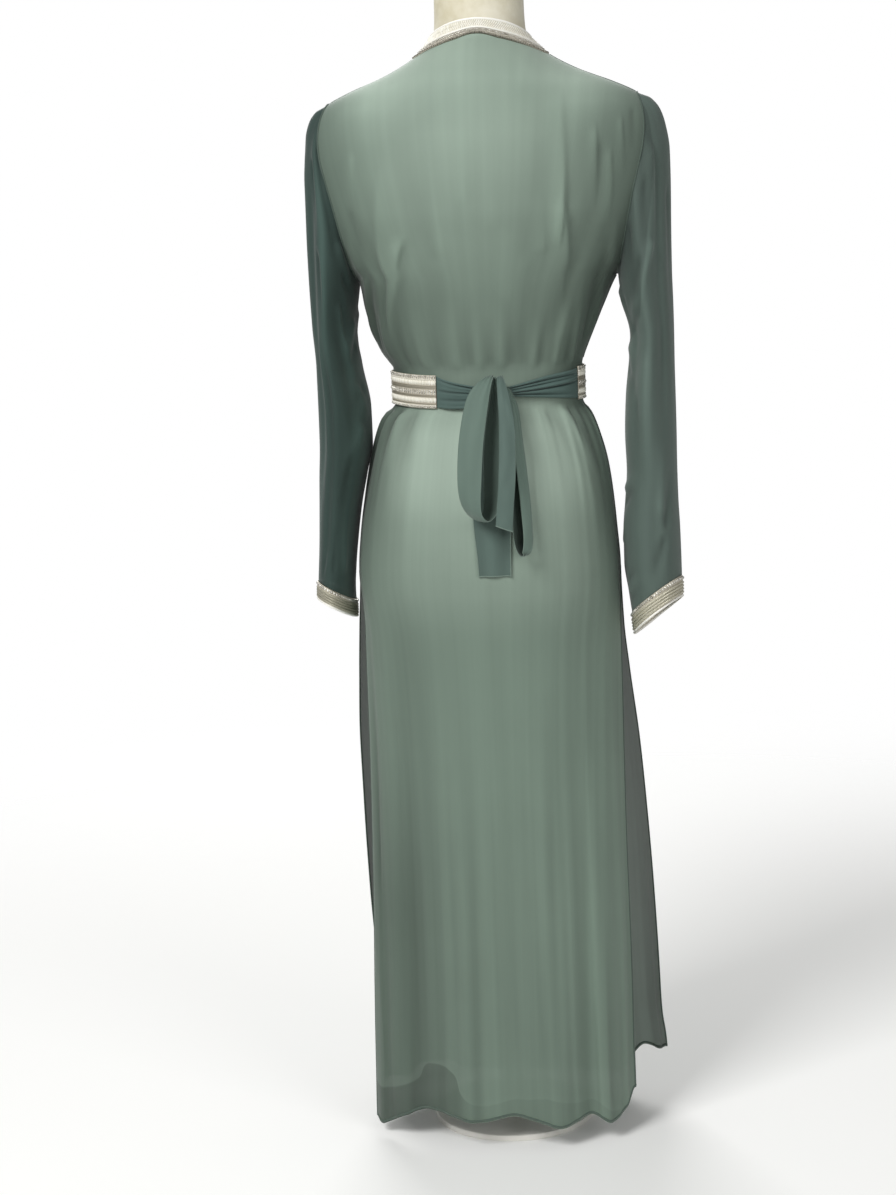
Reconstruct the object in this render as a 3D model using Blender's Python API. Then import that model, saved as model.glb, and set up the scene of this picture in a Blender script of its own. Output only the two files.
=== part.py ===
# A floor-length sheer robe with a belt tied at the back, hanging on a limbless dress form.
# Metres, +Z up. The robe's front faces -Y and its left side is +X. The stand's pole is the
# Z axis, and the underside of its base is z = 0.
from collections import namedtuple
from math import acos, asin, cos, exp, pi, radians, sin, sqrt

import bmesh
import bpy
from mathutils import Vector

# Walls and gaps
CLOTH = 0.0012
BRAID = 0.0020
SEAM = 0.0005
REST = 0.0005
FORM_GAP = 0.0009
CUFF_GAP = 0.0009

# Neck and shoulders
NECK_HALF = 0.085
NAPE_Z = 1.401
V_POINT_Z = 1.232
SHOULDER_TIP = 0.192
SHOULDER_ROUND = 0.090
UNDERARM_Z = 1.105
SLEEVE_HEAD = 0.035
SLEEVE_SEAM = 0.0010
BAND_NAPE = (0.0525, 1.4195)
BAND_SIDE = (0.0635, 1.3955)
BAND_WIDTH = 0.024
BAND_SEAM = 0.0008

# Waist, slits and hem
WAIST_Z = 0.974
BELT_TOP = 0.9920
BELT_BOTTOM = 0.9505
BELT_DROOP = 0.0035
BELT_ENDS = (30.0, 290.0)
SLIT_Z = 0.735
HEM_Z = 0.030
HEM_BLEND = 0.130

# Columns and rows of the panels
NECK_COLUMNS = 6
SHOULDER_COLUMNS = 7
YOKE_ROWS = 11
SLEEVE_COLUMNS = 20
SLEEVE_ROWS = 18
ROW_GROWTH = 1.35

# Stand
NECK_RADIUS = 0.056
NECK_CENTRE_Y = -0.006
NECK_RINGS = (1.405, 1.425, 1.452)
CAP_HEIGHT = 0.012
POLE_RADIUS = 0.012
BASE_RADIUS = 0.105
BASE_HEIGHT = 0.008

# The line of the shoulders: height over the distance from the middle
Shoulder = namedtuple("Shoulder", "x z")
SHOULDERS = [Shoulder(*row) for row in (
    (0.000, 1.425), (0.030, 1.413), (0.060, 1.395), (0.085, 1.376), (0.120, 1.357),
    (0.165, 1.339), (0.192, 1.326), (0.210, 1.312))]

# The robe round the trunk: half widths to its left and right, depths to back and front.
# Above the underarm the half widths are those that the yoke would close at.
Trunk = namedtuple("Trunk", "z left right back front")
TRUNK = [Trunk(*row) for row in (
    (1.430, 0.2520, 0.2520, 0.0750, 0.0500),
    (1.400, 0.2520, 0.2520, 0.0810, 0.0620),
    (1.376, 0.2510, 0.2510, 0.0880, 0.0700),
    (1.350, 0.2500, 0.2500, 0.0960, 0.0800),
    (1.320, 0.2480, 0.2480, 0.1040, 0.0900),
    (1.280, 0.2410, 0.2410, 0.1100, 0.1030),
    (1.235, 0.2300, 0.2300, 0.1140, 0.1140),
    (1.190, 0.2140, 0.2140, 0.1145, 0.1200),
    (1.150, 0.1950, 0.1950, 0.1105, 0.1190),
    (1.125, 0.1800, 0.1800, 0.1065, 0.1165),
    (1.105, 0.1630, 0.1630, 0.1030, 0.1140),
    (1.070, 0.1565, 0.1460, 0.0960, 0.1080),
    (1.040, 0.1480, 0.1330, 0.0890, 0.1020),
    (1.015, 0.1375, 0.1225, 0.0820, 0.0965),
    (1.003, 0.1290, 0.1180, 0.0785, 0.0930),
    (0.994, 0.1235, 0.1160, 0.0765, 0.0915),
    (0.946, 0.1235, 0.1160, 0.0765, 0.0915),
    (0.940, 0.1310, 0.1195, 0.0780, 0.0930),
    (0.930, 0.1395, 0.1265, 0.0840, 0.0965),
    (0.905, 0.1495, 0.1365, 0.0935, 0.1020),
    (0.870, 0.1585, 0.1455, 0.1055, 0.1080),
    (0.830, 0.1665, 0.1510, 0.1165, 0.1120),
    (0.790, 0.1735, 0.1545, 0.1225, 0.1140),
    (0.735, 0.1780, 0.1580, 0.1245, 0.1140))]

# Each panel below the slits: where its edges hang, its depth there and in the middle, and
# the angle of the arc between them
Skirt = namedtuple("Skirt", "z left right edge middle arc")
BACK_SKIRT = [Skirt(*row) for row in (
    (0.735, 0.1780, 0.1580, 0.000, 0.1245, 90),
    (0.660, 0.1710, 0.1575, 0.018, 0.1255, 84),
    (0.600, 0.1705, 0.1580, 0.026, 0.1260, 80),
    (0.500, 0.1700, 0.1585, 0.034, 0.1270, 76),
    (0.400, 0.1705, 0.1592, 0.040, 0.1280, 74),
    (0.300, 0.1715, 0.1610, 0.045, 0.1290, 72),
    (0.200, 0.1735, 0.1625, 0.050, 0.1300, 70),
    (0.100, 0.1755, 0.1630, 0.055, 0.1310, 70),
    (0.020, 0.1770, 0.1640, 0.060, 0.1320, 70))]
FRONT_SKIRT = [Skirt(*row) for row in (
    (0.735, 0.1780, 0.1580, 0.000, 0.1140, 90),
    (0.660, 0.1840, 0.1600, 0.016, 0.1140, 84),
    (0.600, 0.1880, 0.1655, 0.024, 0.1135, 80),
    (0.500, 0.1920, 0.1765, 0.032, 0.1130, 76),
    (0.400, 0.1915, 0.1840, 0.038, 0.1120, 74),
    (0.300, 0.1890, 0.1900, 0.042, 0.1110, 72),
    (0.200, 0.1840, 0.1945, 0.046, 0.1100, 70),
    (0.100, 0.1800, 0.1980, 0.048, 0.1100, 70),
    (0.020, 0.1800, 0.2035, 0.050, 0.1100, 70))]

# Heights of the hems from the robe's right edge to its left edge
Hem = namedtuple("Hem", "across z")
BACK_HEM = [Hem(*row) for row in (
    (-1.00, 0.058), (-0.88, 0.038), (-0.72, 0.025), (-0.54, 0.037), (-0.35, 0.029),
    (-0.03, 0.043), (0.18, 0.037), (0.45, 0.045), (0.66, 0.031), (0.90, 0.014),
    (1.00, 0.018))]
FRONT_HEM = [Hem(*row) for row in (
    (-1.00, 0.072), (-0.88, 0.062), (-0.76, 0.066), (-0.55, 0.026), (-0.30, 0.017),
    (0.00, 0.018), (0.30, 0.017), (0.45, 0.036), (0.62, 0.037), (0.76, 0.019),
    (1.00, 0.026))]

# Folds of the panels: place across, half width, height outward, and the heights above the
# floor where the fold starts and is full, then where it starts to fade and has gone
Fold = namedtuple("Fold", "across width height start full fade gone")
BACK_FOLDS = [Fold(*row) for row in (
    (0.91, 0.060, 0.0120, 0.70, 0.20, 0.01, 0.00),
    (0.50, 0.130, -0.0080, 0.72, 0.10, 0.01, 0.00),
    (0.18, 0.090, 0.0080, 0.60, 0.10, 0.01, 0.00),
    (-0.05, 0.070, -0.0060, 0.55, 0.10, 0.01, 0.00),
    (-0.34, 0.090, 0.0110, 0.66, 0.10, 0.01, 0.00),
    (-0.54, 0.060, -0.0060, 0.62, 0.10, 0.01, 0.00),
    (-0.72, 0.080, 0.0120, 0.70, 0.10, 0.01, 0.00),
    (0.74, 0.050, 0.0040, 0.945, 0.91, 0.86, 0.74),
    (0.58, 0.040, 0.0030, 0.945, 0.91, 0.87, 0.78),
    (-0.66, 0.045, 0.0035, 0.945, 0.91, 0.86, 0.76),
    (-0.45, 0.055, -0.0030, 1.30, 1.20, 1.05, 1.01),
    (-0.20, 0.060, 0.0025, 1.32, 1.24, 1.06, 1.01),
    (0.30, 0.060, -0.0030, 1.30, 1.22, 1.06, 1.01),
    (0.62, 0.050, 0.0030, 1.18, 1.10, 1.05, 1.01))]
FRONT_FOLDS = [Fold(*row) for row in (
    (0.88, 0.070, 0.0100, 0.70, 0.20, 0.01, 0.00),
    (0.53, 0.080, -0.0090, 0.66, 0.10, 0.01, 0.00),
    (0.24, 0.090, 0.0090, 0.64, 0.10, 0.01, 0.00),
    (0.00, 0.080, -0.0060, 0.60, 0.10, 0.01, 0.00),
    (-0.26, 0.090, 0.0090, 0.68, 0.10, 0.01, 0.00),
    (-0.56, 0.100, -0.0080, 0.66, 0.10, 0.01, 0.00),
    (-0.86, 0.070, 0.0110, 0.68, 0.20, 0.01, 0.00),
    (0.60, 0.050, 0.0035, 0.945, 0.91, 0.86, 0.76),
    (-0.58, 0.050, 0.0035, 0.945, 0.91, 0.86, 0.76),
    (0.55, 0.050, 0.0030, 1.16, 1.10, 1.05, 1.01),
    (-0.52, 0.050, 0.0030, 1.16, 1.10, 1.05, 1.01))]

# The armhole seam's distance from the middle
Armhole = namedtuple("Armhole", "z x")
ARMHOLE = [Armhole(*row) for row in (
    (1.330, 0.190), (1.326, 0.192), (1.314, 0.1965), (1.300, 0.1995), (1.285, 0.2005),
    (1.265, 0.1990), (1.235, 0.1925), (1.200, 0.1840), (1.165, 0.1765), (1.130, 0.1690),
    (1.105, 0.1630))]
# Where round the armhole each direction of the sleeve starts
Root = namedtuple("Root", "angle z")
ROOTS = [Root(*row) for row in (
    (0, 1.326), (30, 1.3215), (55, 1.310), (75, 1.290), (90, 1.260), (105, 1.222),
    (120, 1.190), (140, 1.155), (160, 1.125), (180, 1.105))]

# Each sleeve's sections: outer and inner distance from the middle, half depth
Sleeve = namedtuple("Sleeve", "z outer inner depth")
LEFT_SLEEVE = [Sleeve(*row) for row in (
    (1.326, 0.1925, 0.1680, 0.004), (1.316, 0.2080, 0.1660, 0.020),
    (1.303, 0.2170, 0.1650, 0.035), (1.285, 0.2220, 0.1640, 0.047),
    (1.255, 0.2240, 0.1630, 0.058), (1.200, 0.2245, 0.1630, 0.066),
    (1.105, 0.2248, 0.1650, 0.070), (1.050, 0.2238, 0.1705, 0.069),
    (1.000, 0.2215, 0.1650, 0.068), (0.945, 0.2215, 0.1560, 0.067),
    (0.900, 0.2220, 0.1555, 0.066), (0.860, 0.2240, 0.1640, 0.065),
    (0.820, 0.2255, 0.1730, 0.064), (0.780, 0.2275, 0.1790, 0.063),
    (0.740, 0.2300, 0.1835, 0.062), (0.700, 0.2320, 0.1860, 0.062),
    (0.660, 0.2320, 0.1860, 0.062))]
RIGHT_SLEEVE = [Sleeve(*row) for row in (
    (1.326, 0.1925, 0.1680, 0.004), (1.318, 0.2090, 0.1660, 0.020),
    (1.305, 0.2200, 0.1650, 0.035), (1.285, 0.2265, 0.1640, 0.047),
    (1.255, 0.2310, 0.1630, 0.058), (1.200, 0.2320, 0.1630, 0.065),
    (1.105, 0.2310, 0.1640, 0.069), (1.070, 0.2315, 0.1680, 0.068),
    (1.028, 0.2320, 0.1770, 0.067), (1.000, 0.2322, 0.1750, 0.067),
    (0.950, 0.2326, 0.1700, 0.067), (0.900, 0.2328, 0.1680, 0.066),
    (0.860, 0.2330, 0.1690, 0.065), (0.820, 0.2335, 0.1660, 0.064),
    (0.780, 0.2350, 0.1630, 0.063), (0.740, 0.2360, 0.1630, 0.062),
    (0.700, 0.2360, 0.1680, 0.060), (0.640, 0.2345, 0.1745, 0.058))]
# Folds down the sleeves: direction round the sleeve, half width in degrees, height outward,
# and the heights where the fold starts, is full, fades and has gone
SLEEVE_FOLDS = {
    1: [Fold(*row) for row in (
        (48, 13, -0.0075, 1.29, 1.18, 0.95, 0.80),
        (82, 14, 0.0050, 1.20, 1.08, 0.90, 0.80),
        (125, 16, -0.0060, 1.14, 1.06, 0.98, 0.88),
        (-50, 14, -0.0070, 1.28, 1.16, 0.95, 0.80),
        (-85, 14, 0.0050, 1.20, 1.08, 0.90, 0.80),
        (-128, 16, -0.0050, 1.14, 1.06, 0.98, 0.88),
        (70, 14, -0.0035, 0.90, 0.82, 0.76, 0.73))],
    -1: [Fold(*row) for row in (
        (58, 13, -0.0070, 1.30, 1.20, 1.02, 0.86),
        (95, 16, 0.0050, 1.18, 1.08, 0.95, 0.80),
        (135, 14, -0.0050, 1.12, 1.06, 1.00, 0.90),
        (-58, 14, -0.0065, 1.28, 1.16, 0.98, 0.82),
        (-92, 15, 0.0050, 1.18, 1.08, 0.95, 0.80),
        (80, 14, -0.0040, 0.86, 0.80, 0.75, 0.71),
        (-75, 14, -0.0035, 0.88, 0.82, 0.76, 0.72))]}
# Sleeve ends: mean height, how much higher the outer and the back side are, the cuff's width
SleeveEnd = namedtuple("SleeveEnd", "z slant lean cuff")
LEFT_END = SleeveEnd(0.7110, 0.0130, 0.0105, 0.0230)
RIGHT_END = SleeveEnd(0.6970, 0.0240, 0.0120, 0.0270)

# The dress form below its shoulders: half width, depth to back and to front
Form = namedtuple("Form", "z half back front")
FORM = [Form(*row) for row in (
    (0.690, 0.108, 0.076, 0.068), (0.694, 0.126, 0.092, 0.083), (0.704, 0.139, 0.103, 0.094),
    (0.722, 0.147, 0.112, 0.102), (0.750, 0.1505, 0.117, 0.106), (0.790, 0.1495, 0.1175, 0.1080),
    (0.830, 0.1455, 0.1120, 0.1065), (0.870, 0.1390, 0.1010, 0.1025),
    (0.905, 0.1290, 0.0885, 0.0960), (0.930, 0.1180, 0.0790, 0.0910),
    (0.952, 0.1120, 0.0725, 0.0875), (0.974, 0.1110, 0.0720, 0.0870),
    (0.996, 0.1120, 0.0730, 0.0880), (1.030, 0.1180, 0.0800, 0.0940),
    (1.070, 0.1300, 0.0890, 0.1030), (1.105, 0.1430, 0.0965, 0.1095),
    (1.150, 0.1560, 0.1050, 0.1150), (1.190, 0.1650, 0.1095, 0.1150),
    (1.235, 0.1700, 0.1080, 0.1085), (1.280, 0.1705, 0.1020, 0.0960),
    (1.310, 0.1695, 0.0930, 0.0840))]
# Its shoulders: half width, depth to back and to front; their height is the robe's own
FormShoulder = namedtuple("FormShoulder", "half back front")
FORM_SHOULDERS = [FormShoulder(*row) for row in (
    (0.165, 0.0860, 0.0760), (0.155, 0.0850, 0.0750), (0.140, 0.0820, 0.0730),
    (0.120, 0.0770, 0.0690), (0.100, 0.0710, 0.0660), (0.085, 0.0650, 0.0640),
    (0.073, 0.0560, 0.0550), (0.0635, 0.0490, 0.0520))]
FORM_SEGMENTS = 28
SHOULDER_PINCH = 1.6

# Ribbons of the bow: the middle line, the ribbon's width there and its turn about the line
Ribbon = namedtuple("Ribbon", "x y z width turn")
LOOP_LEFT = [Ribbon(*row) for row in (
    (-0.003, 0.0920, 0.9868, 0.022, 0), (0.002, 0.1060, 0.9850, 0.025, 0),
    (0.007, 0.1190, 0.9760, 0.028, 0),
    (0.013, 0.1300, 0.9480, 0.031, 4), (0.0165, 0.1420, 0.9050, 0.032, 6),
    (0.0170, 0.1510, 0.8640, 0.032, 8), (0.0135, 0.1540, 0.8380, 0.031, 16),
    (0.0060, 0.1490, 0.8220, 0.029, 26), (-0.0030, 0.1390, 0.8200, 0.028, 24),
    (-0.0080, 0.1310, 0.8360, 0.027, 12), (-0.0090, 0.1240, 0.8700, 0.026, 4),
    (-0.0080, 0.1130, 0.9200, 0.024, 0), (-0.0065, 0.1034, 0.9620, 0.020, 0))]
TAIL_SHORT = [Ribbon(*row) for row in (
    (-0.0208, 0.0940, 0.9852, 0.011, 0), (-0.0212, 0.1060, 0.9835, 0.013, 0),
    (-0.0230, 0.1180, 0.9740, 0.018, 0),
    (-0.0275, 0.1300, 0.9400, 0.021, 0), (-0.0295, 0.1430, 0.9000, 0.023, 0),
    (-0.0295, 0.1530, 0.8600, 0.024, 0), (-0.0285, 0.1580, 0.8300, 0.023, 0),
    (-0.0270, 0.1600, 0.8110, 0.022, 0))]
LOOP_RIGHT = [Ribbon(*row) for row in (
    (-0.0266, 0.0958, 0.9720, 0.012, 50), (-0.0360, 0.1110, 0.9480, 0.018, 60),
    (-0.0415, 0.1215, 0.9050, 0.020, 62), (-0.0465, 0.1310, 0.8600, 0.021, 64),
    (-0.0505, 0.1370, 0.8150, 0.021, 68), (-0.0505, 0.1395, 0.7850, 0.021, 76),
    (-0.0450, 0.1400, 0.7730, 0.020, 84), (-0.0390, 0.1395, 0.7860, 0.020, 88),
    (-0.0360, 0.1365, 0.8200, 0.020, 90), (-0.0325, 0.1290, 0.8700, 0.019, 90),
    (-0.0290, 0.1160, 0.9200, 0.016, 84), (-0.0245, 0.0980, 0.9600, 0.010, 76))]
# The long tail lies on the skirt: its middle, its width and how far out it is
Tail = namedtuple("Tail", "z x width out")
TAIL_LONG = [Tail(*row) for row in (
    (0.9502, -0.0075, 0.022, 0.0110), (0.9200, -0.0075, 0.032, 0.0050),
    (0.8700, -0.0078, 0.041, 0.0012), (0.8200, -0.0080, 0.046, 0.0010),
    (0.7430, -0.0095, 0.043, 0.0015))]
# The sashes from the belt's end to the knot: across is 0 at the belt and 1 at the knot
Sash = namedtuple("Sash", "along angle top bottom out")
SASH_LEFT = [Sash(*row) for row in (
    (0.0, 29.6, 0.9870, 0.9485, 0.0003), (0.5, 18.5, 0.9800, 0.9470, 0.0008),
    (1.0, 4.2, 0.9740, 0.9490, 0.0040))]
SASH_RIGHT = [Sash(*row) for row in (
    (0.0, -69.6, 0.9900, 0.9525, 0.0003), (0.5, -42.0, 0.9850, 0.9565, 0.0008),
    (1.0, -11.6, 0.9720, 0.9620, 0.0040))]
KNOT_CENTRE = (-0.0080, 0.0892, 0.9680)
KNOT_HALF = (0.0186, 0.0127, 0.0170)


def curve(rows, at, name):
    """Read a column of a table at a value of its first column, smoothly between the rows."""
    sign = 1 if rows[-1][0] > rows[0][0] else -1
    keys = [sign * row[0] for row in rows]
    values = [getattr(row, name) for row in rows]
    key = min(max(sign * at, keys[0]), keys[-1])
    k = 0
    while k < len(keys) - 2 and key > keys[k + 1]:
        k += 1
    steps = [keys[i + 1] - keys[i] for i in range(len(keys) - 1)]
    slopes = [(values[i + 1] - values[i]) / steps[i] for i in range(len(steps))]

    def tangent(i):
        if i in (0, len(steps)) or slopes[i - 1] * slopes[i] <= 0:
            return 0.0
        before, after = 2 * steps[i] + steps[i - 1], steps[i] + 2 * steps[i - 1]
        return (before + after) / (before / slopes[i - 1] + after / slopes[i])

    t = (key - keys[k]) / steps[k]
    first, last = tangent(k) * steps[k], tangent(k + 1) * steps[k]
    rise = values[k + 1] - values[k]
    return values[k] + t * (first + t * (3 * rise - 2 * first - last + t * (first + last - 2 * rise)))


def ease(t):
    """Rise smoothly from 0 to 1."""
    t = min(max(t, 0.0), 1.0)
    return t * t * (3 - 2 * t)


def fold_height(folds, across, z):
    """Add up the folds at a place on a panel or a sleeve."""
    total = 0.0
    for fold in folds:
        grown = ease((fold.start - z) / (fold.start - fold.full))
        left = ease((z - fold.gone) / (fold.fade - fold.gone)) if z < fold.fade else 1.0
        total += fold.height * grown * left * exp(-((across - fold.across) / fold.width) ** 2)
    return total


def yoke_depth(side, x, z):
    """How far the cloth over the shoulders and chest lies behind or before the shoulder line."""
    drop = max(curve(SHOULDERS, abs(x), "z") - z, 0.0)
    rise = min(drop / SHOULDER_ROUND, 1.0)
    roundness = sqrt(1 - (1 - rise) ** 2)
    half = curve(TRUNK, z, "left")
    depth = curve(TRUNK, z, "back" if side > 0 else "front")
    return depth * sqrt(max(1 - (x / half) ** 2, 0.0)) * roundness


def neck_edge_z(side, x):
    """Height of the panel's neck edge at a distance from the middle."""
    part = min(abs(x) / NECK_HALF, 1.0)
    shoulder = curve(SHOULDERS, NECK_HALF, "z")
    if side > 0:
        middle_drop = curve(SHOULDERS, 0.0, "z") - NAPE_Z
        return curve(SHOULDERS, abs(x), "z") - middle_drop * (1 - part ** 1.5)
    return V_POINT_Z + (shoulder - V_POINT_Z) * part ** 1.12


def column_parts():
    """Places of the columns from the middle (0) to the side (1), one of them at the neck point
    and closer ones before it, where the neck edge turns over the shoulder."""
    arc = asin(SHOULDER_TIP / curve(TRUNK, curve(SHOULDERS, SHOULDER_TIP, "z"), "left"))
    neck = asin(sin(arc) * NECK_HALF / SHOULDER_TIP) / arc
    near = [neck * (1 - (1 - i / NECK_COLUMNS) ** 2) for i in range(NECK_COLUMNS)]
    far = [neck + (1 - neck) * i / SHOULDER_COLUMNS for i in range(SHOULDER_COLUMNS + 1)]
    return near + far


COLUMNS = column_parts()


def yoke_point(side, hand, part, row):
    """A point between the neck or shoulder (row 0) and the underarm (row 1)."""
    def along(x, z_top, share):
        """Go down a column, evenly over the round of the shoulder and the flat below it."""
        shoulder = curve(SHOULDERS, x, "z")
        quarter = SHOULDER_ROUND * pi / 2
        flat = shoulder - SHOULDER_ROUND
        drop = shoulder - z_top
        if drop < SHOULDER_ROUND:
            start = quarter * acos(1 - drop / SHOULDER_ROUND) / (pi / 2)
        else:
            start = quarter + drop - SHOULDER_ROUND
        here = start + (quarter + flat - UNDERARM_Z - start) * share ** ROW_GROWTH
        if here < quarter:
            return shoulder - SHOULDER_ROUND * (1 - cos(here / quarter * pi / 2))
        return flat - (here - quarter)

    z_side = along(SHOULDER_TIP, curve(SHOULDERS, SHOULDER_TIP, "z"), row)
    x_side = curve(ARMHOLE, z_side, "x")
    arc = asin(min(x_side / curve(TRUNK, z_side, "left"), 1.0))
    x = x_side * sin(arc * part) / sin(arc)
    x_top = SHOULDER_TIP * sin(arc * part) / sin(arc)
    z_top = neck_edge_z(side, x_top) if x_top < NECK_HALF - 1e-6 else curve(SHOULDERS, x_top, "z")
    z = along(x_top, z_top, row)
    return x * hand, yoke_depth(side, x, z), z


def skirt_point(side, hand, part, z):
    """A point at or below the underarm."""
    name = "left" if hand > 0 else "right"
    if z >= SLIT_Z:
        half = curve(TRUNK, z, name)
        depth = curve(TRUNK, z, "back" if side > 0 else "front")
        return half * sin(part * pi / 2) * hand, depth * cos(part * pi / 2), z
    rows = BACK_SKIRT if side > 0 else FRONT_SKIRT
    arc = radians(curve(rows, z, "arc"))
    edge, middle = curve(rows, z, "edge"), curve(rows, z, "middle")
    x = curve(rows, z, name) * sin(arc * part) / sin(arc)
    y = edge + (middle - edge) * (cos(arc * part) - cos(arc)) / (1 - cos(arc))
    hem = curve(BACK_HEM if side > 0 else FRONT_HEM, hand * part, "z")
    return x * hand, y, z + (hem - HEM_Z) * ease((HEM_Z + HEM_BLEND - z) / HEM_BLEND)


def panel_point(side, across, row):
    """The panel's outer surface: across from -1 (right) to 1 (left), row 0 to 1 is the yoke
    and a larger row is one of the levels below it."""
    hand = 1 if across >= 0 else -1
    part = abs(across)
    if row <= 1:
        x, y, z = yoke_point(side, hand, part, row)
    else:
        x, y, z = skirt_point(side, hand, part, level(row - 1))
    folds = BACK_FOLDS if side > 0 else FRONT_FOLDS
    y += fold_height(folds, across, z) * (1 - 0.6 * part ** 4)
    if part > 1 - 1e-6 and SLIT_Z <= z <= UNDERARM_Z:
        y = SEAM
    return Vector((x, side * max(y, SEAM), z))


# Heights of the panels' rows below the underarm: how many rows each stretch has
Stretch = namedtuple("Stretch", "top rows")
STRETCHES = [Stretch(*row) for row in (
    (UNDERARM_Z, 4), (1.004, 1), (0.994, 2), (0.946, 1), (0.940, 5), (SLIT_Z, 10), (HEM_Z, 0))]
LOWER_ROWS = sum(stretch.rows for stretch in STRETCHES)


def level(row):
    """Height of a row below the underarm."""
    for stretch, below in zip(STRETCHES, STRETCHES[1:]):
        if row <= stretch.rows:
            return stretch.top + (below.top - stretch.top) * row / stretch.rows
        row -= stretch.rows
    return HEM_Z


def material(name, colour, roughness, metallic=0.0):
    """Make a plain material."""
    made = bpy.data.materials.new(name)
    made.use_nodes = True
    shader = made.node_tree.nodes["Principled BSDF"]
    shader.inputs["Base Color"].default_value = (*colour, 1)
    shader.inputs["Roughness"].default_value = roughness
    shader.inputs["Metallic"].default_value = metallic
    return made


def add_object(name, bm, finish):
    """Turn a bmesh into a smooth object with a material."""
    mesh = bpy.data.meshes.new(name)
    bm.to_mesh(mesh)
    bm.free()
    mesh.materials.append(finish)
    mesh.shade_smooth()
    item = bpy.data.objects.new(name, mesh)
    bpy.context.scene.collection.objects.link(item)
    return item


def wall(name, columns, rows, point, finish, thickness=CLOTH, closed=False):
    """A sheet of cloth: a grid whose vertices lie on the outer surface, made a wall inward."""
    bm = bmesh.new()
    bmesh.ops.create_grid(bm, x_segments=columns, y_segments=rows, size=0.5)
    for vert in bm.verts:
        u, v = vert.co.x + 0.5, vert.co.y + 0.5
        vert.co = point(round(u * columns), round(v * rows))
    if closed:
        bmesh.ops.remove_doubles(bm, verts=bm.verts, dist=1e-6)
    item = add_object(name, bm, finish)
    solid = item.modifiers.new("Wall", "SOLIDIFY")
    solid.thickness = thickness
    solid.offset = -1
    solid.use_even_offset = True
    return item


def panel(name, side, finish):
    """The back (side 1) or the front (side -1)."""
    half = len(COLUMNS) - 1

    def point(i, j):
        step = i - half
        across = side * (COLUMNS[step] if step >= 0 else -COLUMNS[-step])
        row = j / YOKE_ROWS if j <= YOKE_ROWS else 1 + j - YOKE_ROWS
        return panel_point(side, across, row)

    return wall(name, 2 * half, YOKE_ROWS + LOWER_ROWS, point, finish)


def sleeve_point(hand, angle, share, below=0.0, out=0.0):
    """The sleeve's outer surface: angle 0 is outward and 90 is toward the back; share 0 is the
    armhole seam and 1 the sleeve's end, and below goes on past the end."""
    rows, end = (LEFT_SLEEVE, LEFT_END) if hand > 0 else (RIGHT_SLEEVE, RIGHT_END)
    turn = radians(angle)
    root_z = curve(ROOTS, abs(angle), "z")
    end_z = end.z + end.slant * cos(turn) + end.lean * sin(turn)
    z = root_z + (end_z - root_z) * share - below
    outer, inner = curve(rows, z, "outer"), curve(rows, z, "inner")
    depth = curve(rows, z, "depth")
    fold = fold_height(SLEEVE_FOLDS[hand], angle, z) + out
    middle = (outer + inner) / 2
    half = (outer - inner) / 2
    place = Vector((middle + (half + fold * 0.5) * cos(turn), (depth + fold) * sin(turn), z))
    side = 1 if angle >= 0 else -1
    root_x = curve(ARMHOLE, root_z, "x")
    root = Vector((root_x + SLEEVE_SEAM, side * yoke_depth(side, root_x, root_z), root_z))
    start_half = (curve(rows, root_z, "outer") - curve(rows, root_z, "inner")) / 2
    start_middle = (curve(rows, root_z, "outer") + curve(rows, root_z, "inner")) / 2
    start = Vector((start_middle + start_half * cos(turn),
                    curve(rows, root_z, "depth") * sin(turn), root_z))
    place += (root - start) * exp(-(root_z - z) / SLEEVE_HEAD)
    return Vector((place.x * hand, place.y, place.z))


def round_angle(hand, i):
    """The angle of a sleeve's column, from the inner side round the front to the inner side."""
    return -hand * (360.0 * i / SLEEVE_COLUMNS - 180.0)


def sleeve(name, hand, finish):
    """A sleeve from the armhole seam to the cuff, closer rows at its head."""
    def point(i, j):
        share = (j / SLEEVE_ROWS) ** ROW_GROWTH
        angle = round_angle(hand, i % SLEEVE_COLUMNS)
        return sleeve_point(hand, angle, share)

    return wall(name, SLEEVE_COLUMNS, SLEEVE_ROWS, point, finish, closed=True)


def cuff(name, hand, finish):
    """The braid round a sleeve's end."""
    width = (LEFT_END if hand > 0 else RIGHT_END).cuff

    def point(i, j):
        angle = round_angle(hand, i % SLEEVE_COLUMNS)
        return sleeve_point(hand, angle, 1.0, CUFF_GAP + width * j / 2, BRAID - CLOTH)

    return wall(name, SLEEVE_COLUMNS, 2, point, finish, BRAID, closed=True)


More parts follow.
